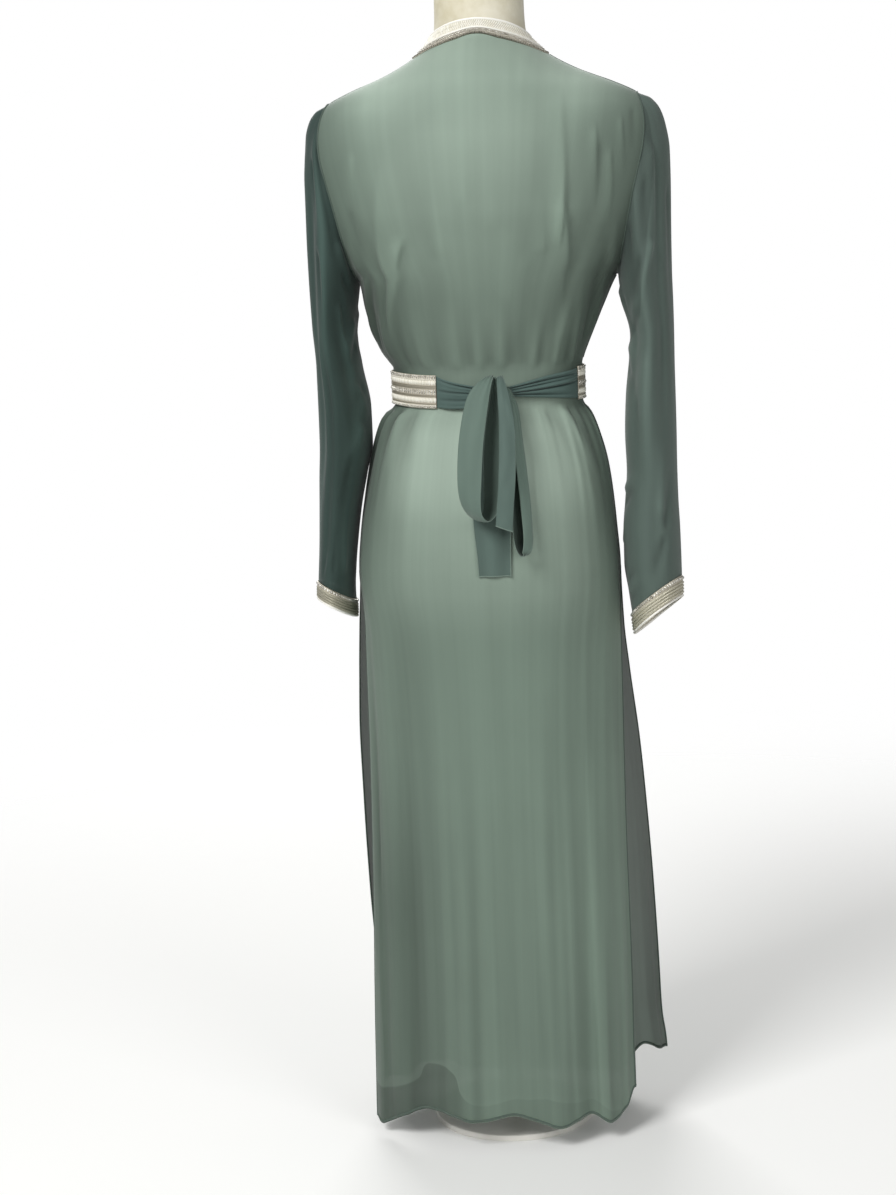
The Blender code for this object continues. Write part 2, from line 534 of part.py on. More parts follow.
def neck_band(name, finish):
    """The braid round the neck: its lower edge follows the panels' neck edges, and its upper
    edge stands round the neck of the form and runs down the V."""
    def upper(side, hand, part):
        turn = part / COLUMNS[NECK_COLUMNS] * pi / 2
        if side > 0:
            x, y = BAND_SIDE[0] * sin(turn), BAND_NAPE[0] * cos(turn)
            z = BAND_SIDE[1] + (BAND_NAPE[1] - BAND_SIDE[1]) * cos(turn) ** 1.3
            return Vector((hand * x, y, z))
        share = part / COLUMNS[NECK_COLUMNS]
        top = Vector((BAND_SIDE[0], 0, BAND_SIDE[1]))
        x = top.x * share
        v_height = curve(SHOULDERS, NECK_HALF, "z") - V_POINT_Z
        half_angle = asin(NECK_HALF / sqrt(NECK_HALF ** 2 + v_height ** 2))
        z = V_POINT_Z + BAND_WIDTH / sin(half_angle)
        z += (top.z - z) * share ** 1.05
        return Vector((hand * x, -yoke_depth(-1, x, z), z))

    stops = []
    parts = COLUMNS[:NECK_COLUMNS + 1]
    for side, hand, order in ((1, 1, parts), (-1, 1, parts[-2::-1]), (-1, -1, parts[1:]),
                              (1, -1, parts[-2:0:-1])):
        stops += [(side, hand, part) for part in order]
    count = len(stops)

    def point(i, j):
        side, hand, part = stops[i % count]
        low, high = panel_point(side, hand * part, 0), upper(side, hand, part)
        low += (high - low).normalized() * BAND_SEAM
        return high.lerp(low, j / 2)

    return wall(name, count, 2, point, finish, BRAID, closed=True)


def waist_point(angle, z, out):
    """A point round the waist: 0 is the middle of the back, 90 the robe's left side."""
    turn = radians(angle)
    half = curve(TRUNK, z, "left" if sin(turn) > 0 else "right") + out
    depth = curve(TRUNK, z, "back" if cos(turn) > 0 else "front") + out
    return Vector((half * sin(turn), depth * cos(turn), z))


def belt_band(name, finish):
    """The embroidered belt panel across the front and both sides."""
    columns = 40

    def point(i, j):
        angle = BELT_ENDS[0] + (BELT_ENDS[1] - BELT_ENDS[0]) * i / columns
        spot = waist_point(angle, WAIST_Z, REST + BRAID)
        droop = BELT_DROOP * ease((80.0 - angle) / 50.0)
        return Vector((spot.x, spot.y, BELT_TOP - droop + (BELT_BOTTOM - BELT_TOP) * j / 2))

    return wall(name, columns, 2, point, finish, BRAID)


def sash(name, rows, flip, finish):
    """A tie with three soft pleats that gather toward the knot."""
    columns, strips = 10, 9
    pleat = 0.0012

    def point(i, j):
        along = 1 - i / columns if flip else i / columns
        down = j / strips
        top, bottom = curve(rows, along, "top"), curve(rows, along, "bottom")
        lift = pleat * along * (1 - cos(6 * pi * down)) / 2
        out = REST + CLOTH + curve(rows, along, "out") + lift
        spot = waist_point(curve(rows, along, "angle"), WAIST_Z, out)
        return Vector((spot.x, spot.y, top + (bottom - top) * down))

    return wall(name, columns, strips, point, finish)


def ribbon(name, rows, steps, finish, end_slant=0.0):
    """A ribbon swept along a smooth line through its rows, slightly cupped."""
    strips = 4
    cup = 0.0016

    def line(t):
        """A smooth curve through the rows, for t from 0 to 1."""
        place = t * (len(rows) - 1)
        k = min(int(place), len(rows) - 2)
        f = place - k
        a, b, c, d = (rows[min(max(k + n, 0), len(rows) - 1)] for n in (-1, 0, 1, 2))
        return [0.5 * (2 * q + (r - p) * f + (2 * p - 5 * q + 4 * r - s) * f * f
                       + (3 * q - p - 3 * r + s) * f ** 3) for p, q, r, s in zip(a, b, c, d)]

    def point(i, j):
        t = j / steps
        x, y, z, width, turn = line(t)
        before, after = line(max(t - 0.01, 0)), line(min(t + 0.01, 1))
        forward = Vector([q - p for p, q in zip(before[:3], after[:3])]).normalized()
        across = Vector((cos(radians(turn)), sin(radians(turn)), 0))
        across = (across - forward * across.dot(forward)).normalized()
        outward = across.cross(forward)
        s = i / strips - 0.5
        spot = Vector((x, y, z)) + across * width * s + outward * cup * (1 - 4 * s * s)
        return spot + forward * end_slant * s * ease((t - 0.7) / 0.3)

    return wall(name, strips, steps, point, finish)


def long_tail(name, finish):
    """The tail that hangs down the skirt behind the loops."""
    columns, rows = 6, 14
    top, bottom = TAIL_LONG[0].z, TAIL_LONG[-1].z

    def point(i, j):
        z = top + (bottom - top) * j / rows
        x = curve(TAIL_LONG, z, "x") + curve(TAIL_LONG, z, "width") * (i / columns - 0.5)
        half = curve(TRUNK, z, "left" if x > 0 else "right")
        y = curve(TRUNK, z, "back") * sqrt(1 - (x / half) ** 2)
        return Vector((x, y + curve(TAIL_LONG, z, "out") + CLOTH, z))

    return wall(name, columns, rows, point, finish)


def knot(name, finish):
    """The soft knot that the bow's ribbons come out of."""
    bm = bmesh.new()
    bmesh.ops.create_uvsphere(bm, u_segments=16, v_segments=10, radius=1.0)
    for vert in bm.verts:
        shape = [abs(c) ** 0.8 * (1 if c > 0 else -1) for c in vert.co]
        vert.co = [centre + half * c for centre, half, c in zip(KNOT_CENTRE, KNOT_HALF, shape)]
    return add_object(name, bm, finish)


def stack(name, loops, finish):
    """A solid through rings of points, closed at both ends."""
    bm = bmesh.new()
    rings = []
    for loop in loops:
        verts = [bm.verts.new(spot) for spot in loop]
        rings.append([bm.edges.new((a, b)) for a, b in zip(verts, verts[1:] + verts[:1])])
    for lower, upper in zip(rings, rings[1:]):
        bmesh.ops.bridge_loops(bm, edges=lower + upper)
    bmesh.ops.edgeloop_fill(bm, edges=rings[0])
    bmesh.ops.edgeloop_fill(bm, edges=rings[-1])
    bmesh.ops.recalc_face_normals(bm, faces=bm.faces)
    return add_object(name, bm, finish)


def oval(half, back, front, z, pinch=1.0):
    """A horizontal ring of the dress form; a pinch over 1 thins it toward its two sides."""
    ring = []
    for i in range(FORM_SEGMENTS):
        turn = 2 * pi * i / FORM_SEGMENTS
        depth = back if cos(turn) > 0 else -front
        ring.append((half * sin(turn), depth * abs(cos(turn)) ** pinch, z))
    return ring


def dress_form(name, finish):
    """The torso and neck in one piece, rounded below the hips."""
    loops = [oval(row.half, row.back, row.front, row.z) for row in FORM]
    for row in FORM_SHOULDERS:
        cover = BRAID if row.half <= NECK_HALF else CLOTH
        z = curve(SHOULDERS, row.half, "z") - cover - FORM_GAP
        loops.append(oval(row.half, row.back, row.front, z, SHOULDER_PINCH))
    neck_back, neck_front = NECK_RADIUS - 0.003 + NECK_CENTRE_Y, NECK_RADIUS - NECK_CENTRE_Y
    for z in NECK_RINGS:
        loops.append(oval(NECK_RADIUS, neck_back, neck_front, z))
    return stack(name, loops, finish)


def disc(name, radius, bottom, top, centre_y, segments, edge, finish):
    """A round plate or rod with softened rims."""
    profile = ((radius - edge, bottom), (radius, bottom + edge), (radius, top - edge),
               (radius - edge, top))
    loops = []
    for ring_radius, z in profile:
        loops.append([(ring_radius * sin(2 * pi * i / segments),
                       centre_y + ring_radius * cos(2 * pi * i / segments), z)
                      for i in range(segments)])
    return stack(name, loops, finish)


def build():
    for item in list(bpy.data.objects):
        bpy.data.objects.remove(item)
    panel("back", 1, material("Sage chiffon back", (0.19, 0.25, 0.21), 0.75))
    panel("front", -1, material("Sage chiffon front", (0.18, 0.24, 0.20), 0.75))
    sleeve("sleeve_left", 1, material("Sage chiffon left sleeve", (0.13, 0.18, 0.16), 0.75))
    sleeve("sleeve_right", -1, material("Sage chiffon right sleeve", (0.13, 0.18, 0.16), 0.75))
    neck_band("neck_band", material("Cream braid neck", (0.72, 0.70, 0.62), 0.55, 0.2))
    cuff("cuff_left", 1, material("Cream braid left cuff", (0.72, 0.70, 0.62), 0.55, 0.2))
    cuff("cuff_right", -1, material("Cream braid right cuff", (0.72, 0.70, 0.62), 0.55, 0.2))
    belt_band("belt_band", material("Cream braid belt", (0.72, 0.70, 0.62), 0.55, 0.2))
    sash("sash_left", SASH_LEFT, True,
         material("Sage chiffon left sash", (0.11, 0.18, 0.16), 0.7))
    sash("sash_right", SASH_RIGHT, False,
         material("Sage chiffon right sash", (0.11, 0.18, 0.16), 0.7))
    knot("knot", material("Sage chiffon knot", (0.11, 0.18, 0.16), 0.7))
    ribbon("loop_left", LOOP_LEFT, 26, material("Sage chiffon left loop", (0.11, 0.18, 0.16), 0.7))
    ribbon("loop_right", LOOP_RIGHT, 26,
           material("Sage chiffon right loop", (0.11, 0.18, 0.16), 0.7))
    ribbon("tail_short", TAIL_SHORT, 14,
           material("Sage chiffon short tail", (0.11, 0.18, 0.16), 0.7), -0.010)
    long_tail("tail_long", material("Sage chiffon long tail", (0.11, 0.18, 0.16), 0.7))
    dress_form("form", material("Cream jersey form", (0.70, 0.66, 0.56), 0.85))
    disc("neck_cap", NECK_RADIUS + 0.001, NECK_RINGS[-1] + REST, NECK_RINGS[-1] + CAP_HEIGHT,
         NECK_CENTRE_Y - 0.001, 32, 0.002, material("Dark neck cap", (0.03, 0.025, 0.02), 0.4))
    disc("pole", POLE_RADIUS, BASE_HEIGHT + REST, FORM[0].z - REST, 0.0, 20, 0.0005,
         material("White steel pole", (0.75, 0.74, 0.70), 0.35))
    disc("base", BASE_RADIUS, 0.0, BASE_HEIGHT, 0.0, 40, 0.0015,
         material("White steel base", (0.75, 0.74, 0.70), 0.35))


build()
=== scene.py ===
from bisect import bisect_right
from collections import namedtuple
from math import acos, asin, cos, exp, pi, radians, sin, sqrt

import bmesh
import bpy
from mathutils import Matrix, Vector, noise
from mathutils.bvhtree import BVHTree


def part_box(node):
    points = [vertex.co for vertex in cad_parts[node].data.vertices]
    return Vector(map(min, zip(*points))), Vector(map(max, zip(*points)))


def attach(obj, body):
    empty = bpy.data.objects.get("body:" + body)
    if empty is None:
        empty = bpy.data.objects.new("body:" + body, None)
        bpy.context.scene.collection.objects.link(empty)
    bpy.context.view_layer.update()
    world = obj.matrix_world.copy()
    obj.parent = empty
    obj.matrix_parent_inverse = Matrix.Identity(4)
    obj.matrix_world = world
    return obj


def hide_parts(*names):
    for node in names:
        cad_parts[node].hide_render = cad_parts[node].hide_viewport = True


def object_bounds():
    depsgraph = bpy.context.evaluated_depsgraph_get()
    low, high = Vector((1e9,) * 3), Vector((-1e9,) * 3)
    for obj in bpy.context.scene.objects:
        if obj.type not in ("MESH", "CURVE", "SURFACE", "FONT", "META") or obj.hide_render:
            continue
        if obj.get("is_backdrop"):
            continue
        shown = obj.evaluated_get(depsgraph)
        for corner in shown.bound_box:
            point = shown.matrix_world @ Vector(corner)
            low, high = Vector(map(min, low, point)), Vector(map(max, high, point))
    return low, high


# The looks of a floor-length sheer robe with a belt tied at the back, on a limbless dress form.
# Metres, +Z up. The robe's front faces -Y and its left side is +X, as in the solids.
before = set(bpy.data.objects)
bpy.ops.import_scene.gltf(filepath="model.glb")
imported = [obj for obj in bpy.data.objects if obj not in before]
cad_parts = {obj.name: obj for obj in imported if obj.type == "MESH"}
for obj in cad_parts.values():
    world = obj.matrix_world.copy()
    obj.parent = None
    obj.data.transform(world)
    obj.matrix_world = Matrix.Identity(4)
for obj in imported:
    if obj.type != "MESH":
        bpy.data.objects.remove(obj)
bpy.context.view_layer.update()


# Base and pole: a round steel plate that lies flat on the floor and a steel tube in its middle,
# both powder coated off-white, so they are smooth with a faint orange peel.
PLATE_RIM = 0.0015
POLE_RIM = 0.0005


def colour(code):
    """An sRGB hex value as a linear colour."""
    shares = [int(code[k:k + 2], 16) / 255 for k in (0, 2, 4)]
    return (*(s / 12.92 if s <= 0.04045 else ((s + 0.055) / 1.055) ** 2.4 for s in shares), 1.0)


def add(tree, kind, inputs=None, **settings):
    """Add a shader node; its inputs take a value, an output, or a node for its first output."""
    node = tree.nodes.new("ShaderNode" + kind)
    for name, value in settings.items():
        setattr(node, name, value)
    for name, value in (inputs or {}).items():
        if isinstance(value, bpy.types.Node):
            value = value.outputs[0]
        if isinstance(value, bpy.types.NodeSocket):
            tree.links.new(value, node.inputs[name])
        else:
            node.inputs[name].default_value = value
    return node


def new_finish(name, **sockets):
    """A material with values on its Principled shader; underscores stand for spaces."""
    made = bpy.data.materials.new(name)
    made.use_nodes = True
    shader = made.node_tree.nodes["Principled BSDF"]
    for socket, value in sockets.items():
        shader.inputs[socket.replace("_", " ")].default_value = value
    return made, made.node_tree, shader


def bumped(tree, shader, height, distance, strength=1.0):
    """Let a height drive the shader's surface; the distance is in metres."""
    bump = add(tree, "Bump", {"Height": height, "Distance": distance, "Strength": strength})
    tree.links.new(bump.outputs["Normal"], shader.inputs["Normal"])


def two_tone(tree, shader, share, first, second):
    """Blend the shader's base colour from one hex value to another."""
    tint = add(tree, "MixRGB", {"Fac": share, "Color1": colour(first), "Color2": colour(second)})
    tree.links.new(tint.outputs["Color"], shader.inputs["Base Color"])


def add_object(name, bm, finish):
    """Make a bmesh an object of the scene."""
    mesh = bpy.data.meshes.new(name)
    bm.to_mesh(mesh)
    bm.free()
    mesh.materials.append(finish)
    made = bpy.data.objects.new(name, mesh)
    bpy.context.scene.collection.objects.link(made)
    return made


def add_piece(name, bm, finish, slot, *nodes):
    """Make a bmesh a smooth piece that rides on the robe and stands for the nodes named."""
    piece = add_object(name, bm, finish)
    piece.data.shade_smooth()
    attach(piece, "root")
    if nodes:
        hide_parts(*nodes)
    return piece


def turned(radius, bottom, top, rim, steps, centre=(0.0, 0.0)):
    """A round plate or rod with rounded rims, spun about an upright line."""
    corner = [radians(15 * k) for k in range(7)]
    profile = [(0.0, bottom)]
    profile += [(radius - rim + rim * sin(a), bottom + rim - rim * cos(a)) for a in corner]
    profile += [(radius - rim + rim * cos(a), top - rim + rim * sin(a)) for a in corner]
    profile.append((0.0, top))
    bm = bmesh.new()
    verts = [bm.verts.new((across, 0.0, z)) for across, z in profile]
    edges = [bm.edges.new(pair) for pair in zip(verts, verts[1:])]
    bmesh.ops.spin(bm, geom=verts + edges, cent=(0, 0, 0), axis=(0, 0, 1), angle=2 * pi,
                   steps=steps, use_merge=True)
    bmesh.ops.remove_doubles(bm, verts=bm.verts, dist=1e-6)
    bmesh.ops.recalc_face_normals(bm, faces=bm.faces)
    bmesh.ops.translate(bm, verts=bm.verts, vec=(*centre, 0.0))
    return bm


powder_coat, tree, shader = new_finish("Off-white powder coat", Roughness=0.42)
place = add(tree, "TexCoord").outputs["Object"]
# Orange peel of powder coat, about 1.5 mm from dimple to dimple
peel = add(tree, "TexNoise", {"Vector": place, "Scale": 650.0, "Detail": 2.0})
cloudy = add(tree, "TexNoise", {"Vector": place, "Scale": 30.0, "Detail": 3.0})
two_tone(tree, shader, cloudy, "DAD8D0", "ECEAE4")
bumped(tree, shader, peel, 0.00012)

low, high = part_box("base")
add_piece("stand_base", turned(high.x, low.z, high.z, PLATE_RIM, 96), powder_coat,
          "stand_paint", "base")
low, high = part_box("pole")
add_piece("stand_pole", turned(high.x, low.z, high.z, POLE_RIM, 48), powder_coat,
          "stand_paint", "pole")


# Dress form: a rigid shell covered in cream cotton jersey, pulled tight and glued, with a dark
# stained wooden cap on the neck. The cover is matt, a little uneven in colour and finely knitted.
JERSEY_WALE = 0.0016
# How sharp the cover's corners stay, up to 1
KEPT_SHARP = 0.85
CAP_RIM = 0.003


def smooth_copy(node, crease_angle):
    """A copy of a solid with its triangles joined, and its corners marked to stay sharp."""
    bm = bmesh.new()
    bm.from_mesh(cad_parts[node].data)
    bmesh.ops.remove_doubles(bm, verts=bm.verts, dist=2e-6)
    bmesh.ops.join_triangles(bm, faces=bm.faces, angle_face_threshold=pi,
                             angle_shape_threshold=pi)
    crease = bm.edges.layers.float.new("crease_edge")
    for edge in bm.edges:
        if edge.calc_face_angle(0.0) > crease_angle:
            edge[crease] = KEPT_SHARP
    return bm


jersey, tree, shader = new_finish("Cream cotton jersey", Roughness=0.88, Sheen_Weight=0.25,
                                  Sheen_Roughness=0.5, Specular_IOR_Level=0.25)
place = add(tree, "TexCoord").outputs["Object"]
# Knit wales and slubs, drawn twice as coarse as real ones so that they show
wales = add(tree, "Mapping", {"Vector": place, "Scale": (1.0, 1.0, 0.14)})
slubs = add(tree, "TexNoise", {"Vector": wales, "Scale": 1.0 / JERSEY_WALE, "Detail": 2.0})
yarns = add(tree, "TexNoise", {"Vector": place, "Scale": 900.0, "Detail": 3.0})
knit = add(tree, "Math", {0: slubs, 1: yarns}, operation="ADD")
stain = add(tree, "TexNoise", {"Vector": place, "Scale": 22.0, "Detail": 4.0, "Roughness": 0.6})
tint = add(tree, "ValToRGB", {"Fac": stain})
tint.color_ramp.elements[0].position = 0.30
tint.color_ramp.elements[0].color = colour("CDC5A9")
tint.color_ramp.elements[1].position = 0.62
tint.color_ramp.elements[1].color = colour("E6E1CE")
tree.links.new(tint.outputs["Color"], shader.inputs["Base Color"])
bumped(tree, shader, knit, 0.00018, 0.7)

cover = add_piece("form_cover", smooth_copy("form", radians(55)), jersey, "form_cover", "form")
rounding = cover.modifiers.new("Rounding", "SUBSURF")
rounding.levels = rounding.render_levels = 2

stained_wood, tree, shader = new_finish("Dark stained beech", Roughness=0.38, Coat_Weight=0.3,
                                        Coat_Roughness=0.2)
place = add(tree, "TexCoord").outputs["Object"]
grain_place = add(tree, "Mapping", {"Vector": place, "Scale": (14.0, 260.0, 260.0)})
grain = add(tree, "TexNoise", {"Vector": grain_place, "Scale": 1.0, "Detail": 5.0})
two_tone(tree, shader, grain, "1C1410", "40302A")
bumped(tree, shader, grain, 0.0001, 0.5)
low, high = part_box("neck_cap")
add_piece("form_neck_cap",
          turned((high.x - low.x) / 2, low.z, high.z, CAP_RIM, 64, (0.0, (low.y + high.y) / 2)),
          stained_wood, "cap_paint", "neck_cap")


# Back and front: one piece of sage chiffon each, so sheer that the cream form lightens it where
# the two touch. Each is cut straight from the shoulders to the hem, joined at the shoulders and
# down the sides to the slits, and hangs in soft upright folds.
NECK_HALF = 0.085
NAPE_Z = 1.401
V_POINT_Z = 1.232
SHOULDER_TIP = 0.192
SHOULDER_ROUND = 0.090
UNDERARM_Z = 1.105
SLIT_Z = 0.735
HEM_Z = 0.030
HEM_BLEND = 0.130
SEAM = 0.0005
YOKE_ROWS, LOWER_ROWS = 66, 178
NECK_COLUMNS, SHOULDER_COLUMNS = 30, 68
# A crease is wider by a share toward its end and narrower on the steep side of a leaning one,
# and its height counts as far as some of its widths
WIDER_END, STEEPER, CREASE_REACH = 0.8, 0.7, 3
# The panels' depth is evened out near the underarm: the heights that are averaged, where that
# ends, and how far out toward the side
EVEN_REACH, EVEN_END, EVEN_SIDE = 0.05, 0.08, 0.95
BELT_MIDDLE_Z = 0.970


def table(columns, rows):
    """Rows with named columns; the last column is 0 where a row leaves it out."""
    kind = namedtuple("TableRow", columns, defaults=(0,))
    return [kind(*row) for row in rows]


# The line of the shoulders: height over the distance from the middle
SHOULDERS = table("x z", (
    (0, 1.425), (0.03, 1.413), (0.06, 1.395), (0.085, 1.376), (0.12, 1.357), (0.165, 1.339),
    (0.192, 1.326), (0.21, 1.312)))

# The robe round the trunk: half widths to its left and right, depths to back and front
TRUNK = table("z left right back front", (
    (1.43, 0.252, 0.252, 0.075, 0.05), (1.4, 0.252, 0.252, 0.081, 0.062),
    (1.376, 0.251, 0.251, 0.088, 0.07), (1.35, 0.25, 0.25, 0.096, 0.08),
    (1.32, 0.248, 0.248, 0.104, 0.09), (1.28, 0.241, 0.241, 0.11, 0.103),
    (1.235, 0.23, 0.23, 0.114, 0.114), (1.19, 0.214, 0.214, 0.1145, 0.12),
    (1.15, 0.195, 0.195, 0.1105, 0.119), (1.125, 0.18, 0.18, 0.1065, 0.1165),
    (1.105, 0.163, 0.163, 0.103, 0.114), (1.07, 0.1565, 0.146, 0.096, 0.108),
    (1.04, 0.148, 0.133, 0.089, 0.102), (1.015, 0.1375, 0.1225, 0.082, 0.0965),
    (1.003, 0.129, 0.118, 0.0785, 0.093), (0.994, 0.1235, 0.116, 0.0765, 0.0915),
    (0.946, 0.1235, 0.116, 0.0765, 0.0915), (0.94, 0.131, 0.1195, 0.078, 0.093),
    (0.93, 0.1395, 0.1265, 0.084, 0.0965), (0.905, 0.1495, 0.1365, 0.0935, 0.102),
    (0.87, 0.1585, 0.1455, 0.1055, 0.108), (0.83, 0.1665, 0.151, 0.1165, 0.112),
    (0.79, 0.1735, 0.1545, 0.1225, 0.114), (0.735, 0.178, 0.158, 0.1245, 0.114)))

# Each panel below the slits: where its edges hang, its depth there and in the middle, and
# the angle of the arc between them
SKIRT_FIELDS = "z left right edge middle arc"
BACK_SKIRT = table(SKIRT_FIELDS, (
    (0.735, 0.178, 0.158, 0, 0.1245, 90), (0.66, 0.171, 0.1575, 0.018, 0.1255, 84),
    (0.6, 0.1705, 0.158, 0.026, 0.126, 80), (0.5, 0.17, 0.1585, 0.034, 0.127, 76),
    (0.4, 0.1705, 0.1592, 0.04, 0.128, 74), (0.3, 0.1715, 0.161, 0.045, 0.129, 72),
    (0.2, 0.1735, 0.1625, 0.05, 0.13, 70), (0.1, 0.1755, 0.163, 0.055, 0.131, 70),
    (0.02, 0.177, 0.164, 0.06, 0.132, 70)))
FRONT_SKIRT = table(SKIRT_FIELDS, (
    (0.735, 0.178, 0.158, 0, 0.114, 90), (0.66, 0.184, 0.16, 0.016, 0.114, 84),
    (0.6, 0.188, 0.1655, 0.024, 0.1135, 80), (0.5, 0.192, 0.1765, 0.032, 0.113, 76),
    (0.4, 0.1915, 0.184, 0.038, 0.112, 74), (0.3, 0.189, 0.19, 0.042, 0.111, 72),
    (0.2, 0.184, 0.1945, 0.046, 0.11, 70), (0.1, 0.18, 0.198, 0.048, 0.11, 70),
    (0.02, 0.18, 0.2035, 0.05, 0.11, 70)))

# Heights of the hems from the robe's right edge to its left edge
HEM_FIELDS = "across z"
BACK_HEM = table(HEM_FIELDS, (
    (-1, 0.058), (-0.88, 0.038), (-0.72, 0.025), (-0.54, 0.037), (-0.35, 0.029), (-0.03, 0.043),
    (0.18, 0.037), (0.45, 0.045), (0.66, 0.031), (0.9, 0.014), (1, 0.018)))
FRONT_HEM = table(HEM_FIELDS, (
    (-1, 0.072), (-0.88, 0.062), (-0.76, 0.066), (-0.55, 0.026), (-0.3, 0.017), (0, 0.018),
    (0.3, 0.017), (0.45, 0.036), (0.62, 0.037), (0.76, 0.019), (1, 0.026)))

# Large folds: place across, half width, height outward, and the heights above the floor
# where the fold starts and is full, then where it starts to fade and has gone
FOLD_FIELDS = "across width height start full fade gone"
BACK_FOLDS = table(FOLD_FIELDS, (
    (0.91, 0.06, 0.012, 0.7, 0.2, 0.01, 0), (0.5, 0.13, -0.008, 0.72, 0.1, 0.01, 0),
    (0.18, 0.09, 0.008, 0.6, 0.1, 0.01, 0), (-0.05, 0.07, -0.006, 0.55, 0.1, 0.01, 0),
    (-0.34, 0.09, 0.011, 0.66, 0.1, 0.01, 0), (-0.54, 0.06, -0.006, 0.62, 0.1, 0.01, 0),
    (-0.72, 0.08, 0.012, 0.7, 0.1, 0.01, 0), (0.74, 0.05, 0.004, 0.945, 0.91, 0.86, 0.74),
    (0.58, 0.04, 0.003, 0.945, 0.91, 0.87, 0.78), (-0.66, 0.045, 0.0035, 0.945, 0.91, 0.86, 0.76),
    (-0.45, 0.055, -0.003, 1.3, 1.2, 1.05, 1.01), (-0.2, 0.06, 0.0025, 1.32, 1.24, 1.06, 1.01),
    (0.3, 0.06, -0.003, 1.3, 1.22, 1.06, 1.01), (0.62, 0.05, 0.003, 1.18, 1.1, 1.05, 1.01)))
FRONT_FOLDS = table(FOLD_FIELDS, (
    (0.88, 0.07, 0.01, 0.7, 0.2, 0.01, 0), (0.53, 0.08, -0.009, 0.66, 0.1, 0.01, 0),
    (0.24, 0.09, 0.009, 0.64, 0.1, 0.01, 0), (0, 0.08, -0.006, 0.6, 0.1, 0.01, 0),
    (-0.26, 0.09, 0.009, 0.68, 0.1, 0.01, 0), (-0.56, 0.1, -0.008, 0.66, 0.1, 0.01, 0),
    (-0.86, 0.07, 0.011, 0.68, 0.2, 0.01, 0), (0.6, 0.05, 0.0035, 0.945, 0.91, 0.86, 0.76),
    (-0.58, 0.05, 0.0035, 0.945, 0.91, 0.86, 0.76), (0.55, 0.05, 0.003, 1.16, 1.1, 1.05, 1.01),
    (-0.52, 0.05, 0.003, 1.16, 1.1, 1.05, 1.01)))

